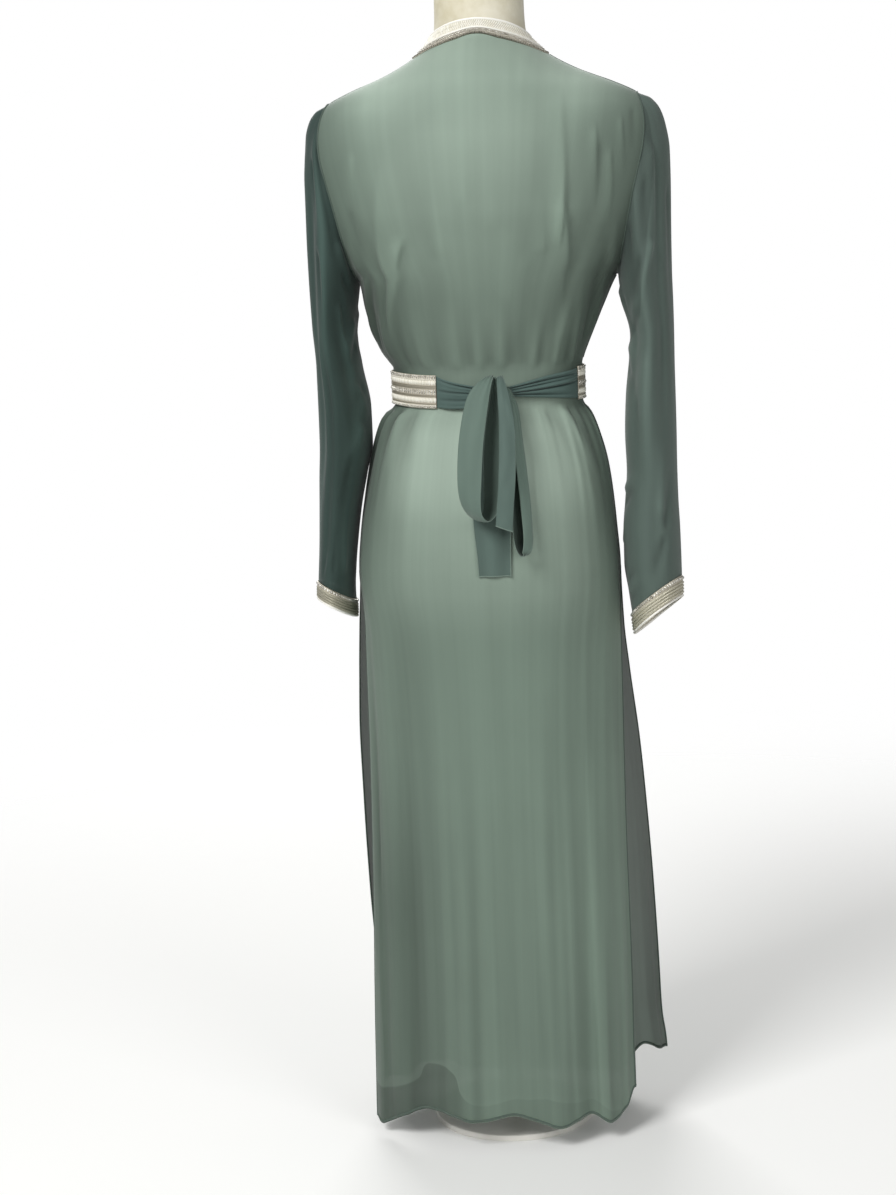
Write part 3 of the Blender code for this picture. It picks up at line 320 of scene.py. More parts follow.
# Creases, troughs below zero: each is full near its first end and runs out to its second. The
# places are across the panel and heights, the half width and the height are in metres, and
# the lean, up to 1, is how much steeper the side toward the robe's left is, or its right below 0
CREASE_FIELDS = "across z end_across end_z width height lean"
BACK_CREASES = table(CREASE_FIELDS, (
    (-0.335, 1.135, -0.26, 1.335, 0.011, 0.004, -1), (-0.3, 1.205, -0.48, 1.05, 0.01, 0.0034, -1),
    (-0.352, 1.17, -0.292, 1.325, 0.008, -0.0022, 0.8),
    (-0.345, 1.19, -0.5, 1.06, 0.008, -0.0018, 0.8), (0.6, 1.03, 0.31, 1.255, 0.01, 0.0034, 1),
    (0.64, 1.03, 0.345, 1.255, 0.007, -0.002, -0.6), (0.3, 1.165, 0.68, 1.005, 0.01, 0.0036, -1),
    (0.27, 1.165, 0.64, 1.01, 0.007, -0.0022, 0.6),
    (-0.4, 1.29, -0.455, 1.18, 0.007, 0.0024, -0.9),
    (-0.47, 1.26, -0.55, 1.165, 0.008, 0.0024, -0.9), (-0.43, 1.27, -0.49, 1.17, 0.006, -0.0018),
    (-0.5, 1.3, -0.56, 1.22, 0.006, 0.002, -0.8), (-0.55, 1.31, -0.6, 1.25, 0.005, -0.0018),
    (0.44, 1.265, 0.52, 1.19, 0.008, 0.0022, -0.8), (0.53, 1.2, 0.62, 1.11, 0.007, -0.002),
    (0.049, 1.19, 0.05, 1.29, 0.008, 0.0014, -0.6),
    (-0.052, 1.16, -0.045, 1.28, 0.008, 0.0012, 0.5),
    (-0.142, 1.07, -0.115, 1.17, 0.008, 0.0016, -0.6),
    (-0.27, 1.13, -0.22, 1.21, 0.008, 0.0016, -0.6), (0.16, 1.13, 0.14, 1.25, 0.009, 0.0012, 0.6),
    (0.2, 1.12, 0.19, 1.22, 0.007, -0.0012), (-0.19, 1.12, -0.17, 1.24, 0.007, -0.0012),
    (0.088, 0.985, 0.07, 1.075, 0.006, -0.0028), (-0.047, 0.985, -0.035, 1.06, 0.006, -0.0024),
    (-0.189, 0.985, -0.16, 1.075, 0.007, -0.003), (-0.276, 0.985, -0.24, 1.06, 0.005, -0.0018),
    (-0.407, 0.985, -0.36, 1.07, 0.007, -0.0028), (0.182, 0.985, 0.165, 1.08, 0.007, 0.0028, -0.4),
    (0.028, 0.985, 0.04, 1.07, 0.006, 0.0022), (-0.117, 0.985, -0.105, 1.08, 0.007, 0.0026),
    (-0.344, 0.985, -0.32, 1.06, 0.006, 0.0022), (-0.525, 0.985, -0.49, 1.08, 0.007, 0.0026, 0.4),
    (0.304, 0.985, 0.28, 1.06, 0.006, -0.0022), (0.405, 0.985, 0.37, 1.08, 0.007, 0.0024, 0.5),
    (0.571, 0.985, 0.5, 1.07, 0.006, -0.0024), (-0.65, 0.985, -0.58, 1.08, 0.006, -0.0024),
    (0.95, 1.02, 0.56, 1.18, 0.007, 0.0028, 0.8), (0.84, 1.01, 0.55, 1.17, 0.006, -0.003),
    (0.74, 1.005, 0.53, 1.12, 0.006, 0.0026, 0.6), (-0.95, 1.02, -0.56, 1.18, 0.007, 0.0028, -0.8),
    (-0.82, 1.01, -0.54, 1.17, 0.006, -0.003), (-0.742, 0.985, -0.52, 1.12, 0.006, 0.0026, -0.6),
    (0.06, 1.385, 0.04, 1.33, 0.005, 0.0012, 0.5), (-0.06, 1.385, -0.07, 1.34, 0.005, 0.0012, 0.5),
    (-0.16, 1.385, -0.15, 1.33, 0.005, 0.0014, 0.5), (0.19, 1.375, 0.17, 1.33, 0.005, 0.0014, 0.5),
    (0.948, 0.958, 0.97, 0.8, 0.006, 0.003, 0.8), (0.857, 0.958, 0.9, 0.79, 0.006, -0.0034),
    (0.765, 0.958, 0.8, 0.86, 0.0053, 0.003, 0.64), (0.676, 0.958, 0.72, 0.8, 0.0053, -0.003),
    (0.595, 0.958, 0.63, 0.86, 0.0045, 0.0022), (0.497, 0.958, 0.53, 0.83, 0.0053, -0.002),
    (0.338, 0.958, 0.35, 0.87, 0.0045, 0.0014), (-0.338, 0.958, -0.35, 0.86, 0.0045, 0.0018),
    (-0.428, 0.958, -0.45, 0.82, 0.0053, -0.0022),
    (-0.537, 0.958, -0.57, 0.8, 0.006, 0.0026, 0.64),
    (-0.637, 0.958, -0.67, 0.83, 0.0045, -0.0028), (-0.757, 0.958, -0.8, 0.78, 0.006, -0.0032),
    (-0.878, 0.958, -0.9, 0.8, 0.006, 0.003, 0.8), (0.761, 0, 0.66, 0.78, 0.012, 0.0024),
    (0.575, -0.04, 0.52, 0.56, 0.0097, -0.0019), (0.342, -0.07, 0.28, 0.74, 0.0097, 0.0019, 0.64),
    (0.167, -0.07, 0.14, 0.52, 0.0083, -0.0016), (0.03, -0.08, 0.08, 0.7, 0.009, 0.002, 0.64),
    (-0.111, -0.07, -0.06, 0.66, 0.0067, -0.0016),
    (-0.22, -0.06, -0.17, 0.76, 0.0083, 0.0018, 0.96), (-0.339, -0.08, -0.3, 0.6, 0.0075, -0.0018),
    (-0.461, -0.08, -0.4, 0.78, 0.009, 0.002, 0.64),
    (-0.634, -0.06, -0.57, 0.66, 0.009, 0.002, 0.96), (-0.755, -0.02, -0.7, 0.56, 0.0083, -0.0018),
    (-0.891, -0.04, -0.84, 0.68, 0.0075, 0.0019), (0.88, 0.3, 0.86, 0.72, 0.009, -0.003),
    (0.963, 0.02, 0.95, 0.66, 0.0067, 0.0016), (-0.349, -0.08, -0.31, 0.36, 0.01, 0.0022, -1),
    (-0.393, -0.08, -0.35, 0.3, 0.008, -0.0014), (0.691, 0.953, 0.735, 0.89, 0.006, -0.0034),
    (0.508, 0.953, 0.465, 0.88, 0.006, -0.0028), (0.6, 0.953, 0.6, 0.87, 0.007, 0.0028),
    (-0.423, 0.955, -0.6, 0.87, 0.008, -0.0028), (-0.538, 0.955, -0.7, 0.86, 0.007, 0.0026, 0.6),
    (-0.641, 0.955, -0.78, 0.86, 0.007, -0.003)))
FRONT_CREASES = table(CREASE_FIELDS, (
    (0.23, 1.33, 0.34, 1.06, 0.009, -0.0022), (-0.22, 1.34, -0.33, 1.07, 0.0083, -0.0024),
    (0.38, 1.24, 0.5, 1.02, 0.009, 0.0028, 0.8), (-0.39, 1.23, -0.5, 1.02, 0.0083, 0.0026, 0.8),
    (0.92, 1.03, 0.54, 1.2, 0.0067, 0.003, 0.64), (0.78, 1.01, 0.52, 1.19, 0.0067, -0.0028),
    (-0.92, 1.03, -0.54, 1.2, 0.0067, 0.003), (-0.76, 1.01, -0.51, 1.18, 0.0067, -0.0028),
    (0.168, 0.985, 0.07, 1.15, 0.0075, -0.0022),
    (-0.104, 0.985, -0.06, 1.12, 0.0075, 0.0024, 0.64), (0.297, 0.985, 0.32, 1.09, 0.0053, 0.0024),
    (-0.277, 0.985, -0.3, 1.08, 0.0053, -0.0022), (0.477, 0.985, 0.5, 1.08, 0.0053, -0.0024),
    (-0.433, 0.985, -0.47, 1.06, 0.0053, 0.0022), (0.616, 0.985, 0.64, 1.07, 0.0053, 0.0024),
    (-0.596, 0.985, -0.62, 1.07, 0.0053, -0.0024), (0.938, 0.958, 0.96, 0.81, 0.006, 0.003),
    (0.797, 0.958, 0.84, 0.79, 0.006, -0.0032), (0.658, 0.958, 0.68, 0.83, 0.0053, 0.0026, 0.64),
    (0.438, 0.958, 0.46, 0.81, 0.006, -0.0026), (0.24, 0.958, 0.24, 0.84, 0.0053, 0.0024),
    (0.061, 0.958, 0.05, 0.8, 0.006, -0.0026), (-0.139, 0.958, -0.15, 0.83, 0.0053, 0.0024, 0.64),
    (-0.338, 0.958, -0.36, 0.81, 0.006, -0.0026), (-0.518, 0.958, -0.54, 0.84, 0.0053, 0.0024),
    (-0.677, 0.958, -0.71, 0.8, 0.006, -0.0028), (-0.857, 0.958, -0.89, 0.81, 0.006, 0.003, 0.64),
    (0.715, -0.06, 0.64, 0.74, 0.0105, 0.0023, 0.64), (0.386, -0.08, 0.36, 0.66, 0.009, -0.0019),
    (0.095, -0.08, 0.12, 0.7, 0.009, 0.002, 0.8), (-0.146, -0.07, -0.12, 0.6, 0.0083, -0.0018),
    (-0.425, -0.08, -0.4, 0.72, 0.0097, 0.002), (-0.731, -0.06, -0.68, 0.66, 0.009, -0.0019),
    (-0.913, -0.04, -0.86, 0.6, 0.0075, 0.0018), (0.906, -0.04, 0.88, 0.62, 0.0075, 0.0017)))


def readers(rows):
    """A function for each column of a table after its first."""
    return {name: reader(rows, name) for name in rows[0]._fields[1:]}


def reader(rows, name):
    """A function that reads a column of a table smoothly between the rows."""
    sign = 1 if rows[-1][0] > rows[0][0] else -1
    keys = [sign * row[0] for row in rows]
    values = [getattr(row, name) for row in rows]
    steps = [b - a for a, b in zip(keys, keys[1:])]
    slopes = [(b - a) / step for a, b, step in zip(values, values[1:], steps)]
    tangents = [0.0]
    for k in range(1, len(steps)):
        before, after = 2 * steps[k] + steps[k - 1], steps[k] + 2 * steps[k - 1]
        if slopes[k - 1] * slopes[k] <= 0:
            tangents.append(0.0)
        else:
            tangents.append((before + after) / (before / slopes[k - 1] + after / slopes[k]))
    tangents.append(0.0)

    def read(at):
        key = min(max(sign * at, keys[0]), keys[-1])
        k = min(max(bisect_right(keys, key) - 1, 0), len(steps) - 1)
        t = (key - keys[k]) / steps[k]
        first, last = tangents[k] * steps[k], tangents[k + 1] * steps[k]
        rise = values[k + 1] - values[k]
        bend = 3 * rise - 2 * first - last + t * (first + last - 2 * rise)
        return values[k] + t * (first + t * bend)

    return read


def ease(t):
    """Rise smoothly from 0 to 1."""
    t = min(max(t, 0.0), 1.0)
    return t * t * (3 - 2 * t)


shoulder_z = reader(SHOULDERS, "z")
trunk = readers(TRUNK)
skirts = {1: readers(BACK_SKIRT), -1: readers(FRONT_SKIRT)}
hem_at = {1: reader(BACK_HEM, "z"), -1: reader(FRONT_HEM, "z")}
folds_of = {1: BACK_FOLDS, -1: FRONT_FOLDS}
creases_of = {1: BACK_CREASES, -1: FRONT_CREASES}
ARMHOLE = table("z x", (
    (1.33, 0.19), (1.326, 0.192), (1.314, 0.1965), (1.3, 0.1995), (1.285, 0.2005), (1.265, 0.199),
    (1.235, 0.1925), (1.2, 0.184), (1.165, 0.1765), (1.13, 0.169), (1.105, 0.163)))
armhole_x = reader(ARMHOLE, "x")


def fold_height(folds, across, z):
    """Add up the large folds at a place on a panel or a sleeve."""
    total = 0.0
    for fold in folds:
        grown = ease((fold.start - z) / (fold.start - fold.full))
        left = ease((z - fold.gone) / (fold.fade - fold.gone)) if z < fold.fade else 1.0
        total += fold.height * grown * left * exp(-((across - fold.across) / fold.width) ** 2)
    return total


def depth_at(side, z):
    """The trunk's depth to the back (side above 0) or to the front."""
    return trunk["back" if side > 0 else "front"](z)


def girth_share(hand, x, z):
    """How far round from the middle (0) to the side (1) a place over the underarms lies."""
    return hand * asin(min(x / trunk["left"](z), 1.0)) / (pi / 2)


def crease_height(creases, across, z, unit):
    """Add up the creases at a place; the unit is how many metres one step across is."""
    total = 0.0
    for crease in creases:
        spare = CREASE_REACH * (1 + WIDER_END) * crease.width
        if not min(crease.z, crease.end_z) - spare < z < max(crease.z, crease.end_z) + spare:
            continue
        run_x, run_z = (crease.end_across - crease.across) * unit, crease.end_z - crease.z
        off_x, off_z = (across - crease.across) * unit, z - crease.z
        share = (off_x * run_x + off_z * run_z) / (run_x ** 2 + run_z ** 2)
        share = min(max(share, 0.0), 1.0)
        away = (off_x - share * run_x) ** 2 + (off_z - share * run_z) ** 2
        width = crease.width * (1 + WIDER_END * share)
        if (off_x > share * run_x) == (crease.lean > 0):
            width *= 1 - STEEPER * abs(crease.lean)
        if away < (CREASE_REACH * width) ** 2:
            along = (1 - share) ** 0.8 * ease(share / 0.18)
            total += crease.height * along * exp(-away / width ** 2)
    return total


def yoke_depth(side, x, z):
    """How far the cloth over the shoulders lies behind or before the shoulder line."""
    drop = max(shoulder_z(abs(x)) - z, 0.0)
    rise = min(drop / SHOULDER_ROUND, 1.0)
    level = sqrt(max(1 - (x / trunk["left"](z)) ** 2, 0.0))
    return depth_at(side, z) * level * sqrt(1 - (1 - rise) ** 2)


def neck_edge_z(side, x):
    """Height of a panel's neck edge at a distance from the middle."""
    part = min(abs(x) / NECK_HALF, 1.0)
    if side > 0:
        return shoulder_z(abs(x)) - (shoulder_z(0.0) - NAPE_Z) * (1 - part ** 1.5)
    return V_POINT_Z + (shoulder_z(NECK_HALF) - V_POINT_Z) * part ** 1.12


def yoke_point(side, hand, part, row):
    """A point between the neck or shoulder (row 0) and the underarm (row 1)."""
    def along(x, z_top, share):
        """Go down a column, evenly over the round of the shoulder and the flat below it."""
        quarter = SHOULDER_ROUND * pi / 2
        flat = shoulder_z(x) - SHOULDER_ROUND
        drop = shoulder_z(x) - z_top
        if drop < SHOULDER_ROUND:
            start = SHOULDER_ROUND * acos(1 - drop / SHOULDER_ROUND)
        else:
            start = quarter + drop - SHOULDER_ROUND
        here = start + (quarter + flat - UNDERARM_Z - start) * share ** 1.35
        if here < quarter:
            return flat + SHOULDER_ROUND * cos(here / SHOULDER_ROUND)
        return flat - (here - quarter)

    z_side = along(SHOULDER_TIP, shoulder_z(SHOULDER_TIP), row)
    x_side = armhole_x(z_side)
    arc = asin(min(x_side / trunk["left"](z_side), 1.0))
    x = x_side * sin(arc * part) / sin(arc)
    x_top = SHOULDER_TIP * sin(arc * part) / sin(arc)
    z_top = neck_edge_z(side, x_top) if x_top < NECK_HALF - 1e-6 else shoulder_z(x_top)
    z = along(x_top, z_top, row)
    return x * hand, yoke_depth(side, x, z), z


def skirt_point(side, hand, part, z):
    """A point at or below the underarm."""
    name = "left" if hand > 0 else "right"
    if z >= SLIT_Z:
        y = depth_at(side, z) * cos(part * pi / 2)
        return trunk[name](z) * sin(part * pi / 2) * hand, y, z
    skirt = skirts[side]
    arc = radians(skirt["arc"](z))
    edge, middle = skirt["edge"](z), skirt["middle"](z)
    x = skirt[name](z) * sin(arc * part) / sin(arc)
    y = edge + (middle - edge) * (cos(arc * part) - cos(arc)) / (1 - cos(arc))
    rise = (hem_at[side](hand * part) - HEM_Z) * ease((HEM_Z + HEM_BLEND - z) / HEM_BLEND)
    return x * hand, y, z + rise


def evened_depth(side, x, z):
    """The trunk's depth round a height, averaged so that it has no bend at the underarm."""
    total = 0.0
    for k in range(-5, 6):
        at = z + EVEN_REACH * k / 5
        half = trunk["left" if x > 0 or at > UNDERARM_Z else "right"](at)
        total += depth_at(side, at) * sqrt(max(1 - (x / half) ** 2, 0.0))
    return total / 11


def panel_point(side, across, row, z=None):
    """A panel's outer surface: across from -1 (right) to 1 (left), and a row from 0 to 1 over
    the yoke, or a height below it."""
    hand = 1 if across >= 0 else -1
    part = abs(across)
    if z is None:
        x, y, z = yoke_point(side, hand, part, row)
        across = girth_share(hand, abs(x), z)
    else:
        x, y, z = skirt_point(side, hand, part, z)
    away = abs(z - UNDERARM_Z)
    if away < EVEN_END and part < EVEN_SIDE:
        near = ease((EVEN_END - away) / EVEN_REACH) * ease((EVEN_SIDE - part) / 0.25)
        y += (evened_depth(side, x, z) - y) * near
    y += fold_height(folds_of[side], across, z) * (1 - 0.6 * part ** 4)
    if part > 1 - 1e-6 and SLIT_Z <= z <= UNDERARM_Z:
        y = SEAM
    return Vector((x, side * max(y, SEAM), z))


def column_parts():
    """Places of the columns from the middle (0) to the side (1), one at the neck point and
    closer ones before it, where the neck edge turns over the shoulder."""
    arc = asin(SHOULDER_TIP / trunk["left"](shoulder_z(SHOULDER_TIP)))
    neck = asin(sin(arc) * NECK_HALF / SHOULDER_TIP) / arc
    near = [neck * (1 - (1 - k / NECK_COLUMNS) ** 2) for k in range(NECK_COLUMNS)]
    far = [neck + (1 - neck) * k / SHOULDER_COLUMNS for k in range(SHOULDER_COLUMNS + 1)]
    return near + far


COLUMNS = column_parts()
NECK_PART = COLUMNS[NECK_COLUMNS]
form_surface = BVHTree.FromPolygons(
    [vert.co.copy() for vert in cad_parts["form"].data.vertices],
    [tuple(face.vertices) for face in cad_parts["form"].data.polygons])


# How much of the cream form shows through the cloth at each height: most where the cloth
# lies on the shoulders and hips, least where it is gathered over the belt or hangs free
GLOW = table("z share", (
    (1.42, 0.8), (1.36, 0.85), (1.28, 0.65), (1.2, 0.37), (1.12, 0.2), (1.05, 0.13), (1, 0.14),
    (0.95, 0.6), (0.91, 1), (0.86, 0.92), (0.8, 0.54), (0.74, 0.46), (0.68, 0.42), (0.55, 0.2),
    (0.3, 0.1), (0.03, 0.04)))
# Distance of the form at which its glow has faded to about a third
FORM_GLOW = 0.022
glow_at = reader(GLOW, "share")

# Painted shade on the panels, or a painted highlight below 0: from a place across over a reach,
# toward the right where that is below 0, from a low height up over its rise and from a high one
# down over its fall. The shade is painted at the sides, which turn away from the light, at the
# waist and low on the left
PAINTED_SHADE_FIELDS = "deep across reach low rise high fall"
PANEL_PAINTED_SHADE = table(PAINTED_SHADE_FIELDS, (
    (0.36, 0.36, 0.5, 0.7, 0.15, 9, 1), (0.36, -0.36, -0.5, 0.7, 0.15, 9, 1),
    (-0.2, -0.36, -0.5, 0.7, 0.15, 0.955, 0.04), (0.09, -0.3, -0.08, 1.04, 0.05, 9, 1),
    (-0.11, 0.1, 0.3, 1.26, 0.08, 9, 1), (-0.11, -0.1, -0.3, 1.26, 0.08, 9, 1),
    (0.05, -2, 1, 0.975, 0.02, 1.15, 0.08), (0.16, 0, 0.4, 0.975, 0.02, 1.15, 0.08),
    (-0.18, 0.5, -0.4, -1, 1, 0.74, 0.12), (0.32, 0.1, 0.5, -1, 1, 0.58, 0.3),
    (0.11, 0.6, -0.5, -1, 1, 0.5, 0.4)))


def painted_shade_at(rows, across, z):
    """Add up a table's painted shade at a place."""
    return sum(row.deep * ease((across - row.across) / row.reach)
               * ease((z - row.low) / row.rise) * ease((row.high - z) / row.fall)
               for row in rows)


def shell(name, columns, rows, spot, finish, slot, nodes=(), closed=False, lift=None,
          size=(1.0, 1.0), thickness=0.0, looks=None, lay=None):
    """A sheet of cloth whose columns run down its outer side: spot(u, v) gives its places for
    u and v from 0 to 1, lift(u, v, place) raises it, looks(u, v, place) says how much the form
    shows through and how much painted shade it carries, a painted highlight below 0, and its UV
    map in metres comes from its size, or from lay(u, v, place)."""
    bm = bmesh.new()
    bmesh.ops.create_grid(bm, x_segments=columns, y_segments=rows, size=0.5)
    marks = bm.verts.layers.float_vector.new("mark")
    chart = bm.loops.layers.uv.new("cloth")
    laid = {}
    for vert in bm.verts:
        u, v = vert.co.x + 0.5, vert.co.y + 0.5
        vert[marks] = (u, v, 0.0)
        vert.co = spot(u % 1.0 if closed else u, v)
        laid[vert] = lay(u, v, vert.co) if lay else (u * size[0], v * size[1])
    for face in bm.faces:
        for loop in face.loops:
            loop[chart].uv = laid[loop.vert]
    if closed:
        bmesh.ops.remove_doubles(bm, verts=bm.verts, dist=1e-6)
    bm.normal_update()
    raised = bm.verts.layers.float.new("raised")
    if lift:
        for vert in bm.verts:
            vert[raised] = lift(vert[marks][0], vert[marks][1], vert.co)
        for vert in bm.verts:
            vert.co += vert.normal * vert[raised]
    close = bm.verts.layers.float.new("form_close")
    deep = bm.verts.layers.float.new("deep")
    if looks:
        for vert in bm.verts:
            vert[close], vert[deep] = looks(vert[marks][0], vert[marks][1], vert.co)
    bm.verts.layers.float_vector.remove(marks)
    piece = add_piece(name, bm, finish, slot, *nodes)
    if thickness:
        wall = piece.modifiers.new("Wall", "SOLIDIFY")
        wall.thickness = thickness
        wall.offset = 0.0
    return piece


def chiffon(name, plain, over_form, seen_through, hem_line=None):
    """Polyester chiffon: fine twisted yarns woven far apart, so it is sheer, soft and matt with
    a faint sheen, and lighter where the form is close behind it. Its colour is also darker in
    crease troughs and lighter on ridges, partly from the denser cloth and partly as painted shade
    and painted highlight, and it carries painted shade, or painted highlight below 0, from a
    per-vertex attribute."""
    made, tree, shader = new_finish(name, Roughness=0.68, Specular_IOR_Level=0.2,
                                    Sheen_Weight=0.18, Sheen_Roughness=0.45)
    place = add(tree, "TexCoord").outputs["Object"]
    chart = add(tree, "UVMap", uv_map="cloth")
    close = add(tree, "Attribute", attribute_name="form_close").outputs["Fac"]
    base = add(tree, "MixRGB", {"Fac": close, "Color1": colour(plain), "Color2": colour(over_form)})
    # Uneven warp: upright streaks about 9 mm wide and 600 mm long, with finer ones in them
    stretch = add(tree, "Mapping", {"Vector": chart, "Scale": (110.0, 1.6, 1.0)})
    streaks = add(tree, "TexNoise", {
        "Vector": stretch, "Scale": 1.0, "Detail": 4.0, "Roughness": 0.5})
    clouds = add(tree, "TexNoise", {"Vector": place, "Scale": 7.0, "Detail": 2.0})
    uneven = add(tree, "Math", {0: streaks, 1: clouds}, operation="ADD")
    tone = add(tree, "MapRange", {
        "Value": uneven, "From Min": 0.7, "From Max": 1.3, "To Min": 0.95, "To Max": 1.05})
    # Crease troughs darker and ridges lighter in the colour: partly denser cloth, partly painted
    # shade and painted highlight
    raised = add(tree, "Attribute", attribute_name="raised").outputs["Fac"]
    crease_painted_shade = add(tree, "MapRange", {
        "Value": raised, "From Min": -0.003, "From Max": 0.003, "To Min": 0.74, "To Max": 1.20})
    both = add(tree, "Math", {0: tone, 1: crease_painted_shade}, operation="MULTIPLY")
    # The per-vertex tone darkens the colour as painted shade, or lightens it below 0 as a painted
    # highlight
    deep = add(tree, "Attribute", attribute_name="deep").outputs["Fac"]
    left = add(tree, "Math", {0: 1.0, 1: deep}, operation="SUBTRACT")
    both = add(tree, "Math", {0: both, 1: left}, operation="MULTIPLY")
    if hem_line:
        both = hem_line(tree, chart, both)
    shade = add(tree, "VectorMath", {0: base}, operation="SCALE")
    tree.links.new(both.outputs[0], shade.inputs["Scale"])
    tree.links.new(shade.outputs["Vector"], shader.inputs["Base Color"])
    shader.inputs["Alpha"].default_value = 1.0 - seen_through
    # Crepe of the twisted yarns, about 0.7 mm
    crepe = add(tree, "TexNoise", {"Vector": place, "Scale": 1400.0, "Detail": 1.0})
    bumped(tree, shader, crepe, 0.0002, 0.5)
    return made


# Where the front's hem shows through the back: the place across the back, and the height that
# it was cut at
FRONT_HEM_SHOWS = table("across z", (
    (-1, 0.034), (-0.89, 0.034), (-0.66, 0.049), (-0.5, 0.052), (-0.3, 0.066), (-0.08, 0.055),
    (0.14, 0.053), (0.22, 0.059), (0.265, 0.07), (0.28, 0.086), (0.315, 0.0965), (0.36, 0.101),
    (0.46, 0.1), (0.5, 0.094), (0.54, 0.077), (0.6, 0.073), (0.93, 0.075), (1, 0.076)))
PATCH_FROM, PATCH_TO = 0.60, 0.64
CHART_WIDTH, CHART_TOP = 0.50, 1.45
# The line's heights are stretched to use the range of the curve node, 0 to 1
CURVE_STRETCH = 5.0
HEM_BLUR, HEM_FADE = 0.0012, 0.0100


def front_hem_line(tree, chart, tone):
    """Darken the back below the line where the front's hem shows through it."""
    parts = add(tree, "SeparateXYZ", {"Vector": chart})
    share = add(tree, "Math", {0: parts.outputs["X"], 1: CHART_WIDTH}, operation="DIVIDE")
    line = add(tree, "FloatCurve", {"Value": share})
    points = line.mapping.curves[0].points
    while len(points) < len(FRONT_HEM_SHOWS):
        points.new(0.5, 0.5)
    for point, row in zip(points, FRONT_HEM_SHOWS):
        point.location = ((row.across + 1) / 2, row.z * CURVE_STRETCH)
    line.mapping.update()
    height = add(tree, "Math", {0: CHART_TOP, 1: parts.outputs["Y"]}, operation="SUBTRACT")
    line_z = add(tree, "Math", {0: line, 1: CURVE_STRETCH}, operation="DIVIDE")
    over = add(tree, "Math", {0: height, 1: line_z}, operation="SUBTRACT")
    # One layer alone is dark on the robe's left and only a little darker on its right
    alone = add(tree, "MapRange", {
        "Value": share, "From Min": PATCH_FROM, "From Max": PATCH_TO, "To Min": 0.92,
        "To Max": 0.69})
    dark = add(tree, "MapRange", {
        "Value": over, "From Min": -HEM_BLUR, "From Max": HEM_BLUR, "To Min": alone,
        "To Max": 1.03})
    fade = add(tree, "MapRange", {
        "Value": over, "From Min": HEM_BLUR, "From Max": HEM_FADE, "To Min": 0.0, "To Max": 0.03})
    lit = add(tree, "Math", {0: dark, 1: fade}, operation="SUBTRACT")
    return add(tree, "Math", {0: tone, 1: lit}, operation="MULTIPLY")


sage_back = chiffon("Sage chiffon back", "69796D", "ADBFB0", 0.02, front_hem_line)
sage_front = chiffon("Sage chiffon front", "6F7E74", "A6B7A8", 0.06)


def panel_lift(side, across, z):
    """Creases and a slow unevenness of a panel, none at the belt and the shoulder line."""
    free = ease((abs(z - BELT_MIDDLE_Z) - 0.022) / 0.012)
    low = ease((1.375 - z) / 0.07)
    sway = noise.noise(Vector((across * 7.0, z * 2.2, 5.0 * side)))
    sway += 0.5 * noise.noise(Vector((across * 17.0, z * 3.0, 9.0 * side)))
    total = crease_height(creases_of[side], across, z, trunk["left"](z) * pi / 2)
    total += sway * (0.0009 + 0.0014 * ease((0.75 - z) / 0.5))
    return total * free * (low if total < 0 else 0.3 + 0.7 * low)


def panel(name, side, finish, node):
    """The back (side 1) or the front (side -1)."""
    half = len(COLUMNS) - 1
    rows = YOKE_ROWS + LOWER_ROWS

    def across_at(u):
        step = round(u * 2 * half) - half
        return side * (COLUMNS[step] if step >= 0 else -COLUMNS[-step])

    def spot(u, v):
        """Rows are closer toward the underarms, where the columns bend."""
        row = round(v * rows)
        if row <= YOKE_ROWS:
            return panel_point(side, across_at(u), 1 - (1 - row / YOKE_ROWS) ** 1.6)
        return panel_point(side, across_at(u), 1, flat_height(row))

    def flat_height(row):
        return UNDERARM_Z + (HEM_Z - UNDERARM_Z) * (row - YOKE_ROWS) / LOWER_ROWS

    def even(u, at):
        """The place round the trunk from the robe's right (-1) to its left (1)."""
        if at.z <= UNDERARM_Z:
            return across_at(u)
        return girth_share(1 if at.x > 0 else -1, abs(at.x), at.z)

    def lay(u, v, at):
        row = round(v * rows)
        height = at.z if row <= YOKE_ROWS else flat_height(row)
        return (even(u, at) + 1) / 2 * CHART_WIDTH, CHART_TOP - height

    def lift(u, v, at):
        return panel_lift(side, even(u, at), at.z)

    def looks(u, v, at):
        """The form shows where the cloth lies on it and not at the sides, which partly stands in for
        painted shade where they turn away; the panel table adds painted shade and painted highlight.
        """
        across = even(u, at)
        away = form_surface.find_nearest(at)[3]
        beside = ease((abs(across) - 0.36) / 0.5)
        close = glow_at(at.z) * exp(-(away / FORM_GLOW) ** 1.3) * (1 - beside)
        return close, painted_shade_at(PANEL_PAINTED_SHADE, across, at.z)

    return shell(name, 2 * half, rows, spot, finish, "chiffon", [node], lift=lift,
                 looks=looks, lay=lay)


robe_back = panel("robe_back", 1, sage_back, "back")
robe_front = panel("robe_front", -1, sage_front, "front")


# Seams and hems: the panels' narrow rolled hems along the hem and the slits, and the closed
# seams at the shoulders, sides and armholes. Each is a thin roll of the same chiffon, so it is
# denser and darker; it follows the panels' own points.
SLEEVE_SEAM = 0.0010
WAIST_Z = 0.974
# Half the height at the waist where the belt hides the side seams
UNDER_BELT = 0.026
# Half widths and half thicknesses of the rolls
ARMHOLE_ROLL = (0.0011, 0.0011)
SIDE_ROLL = (0.0012, 0.0006)
SHOULDER_ROLL = (0.0014, 0.0007)
HEM_ROLL = (0.0016, 0.0008)
HEM_UP = 0.0028
SLIT_ACROSS = 0.9915
# A roll's UV map in metres: round it, and for each step along it
ROLL_ROUND, ROLL_STEP = 0.010, 0.006


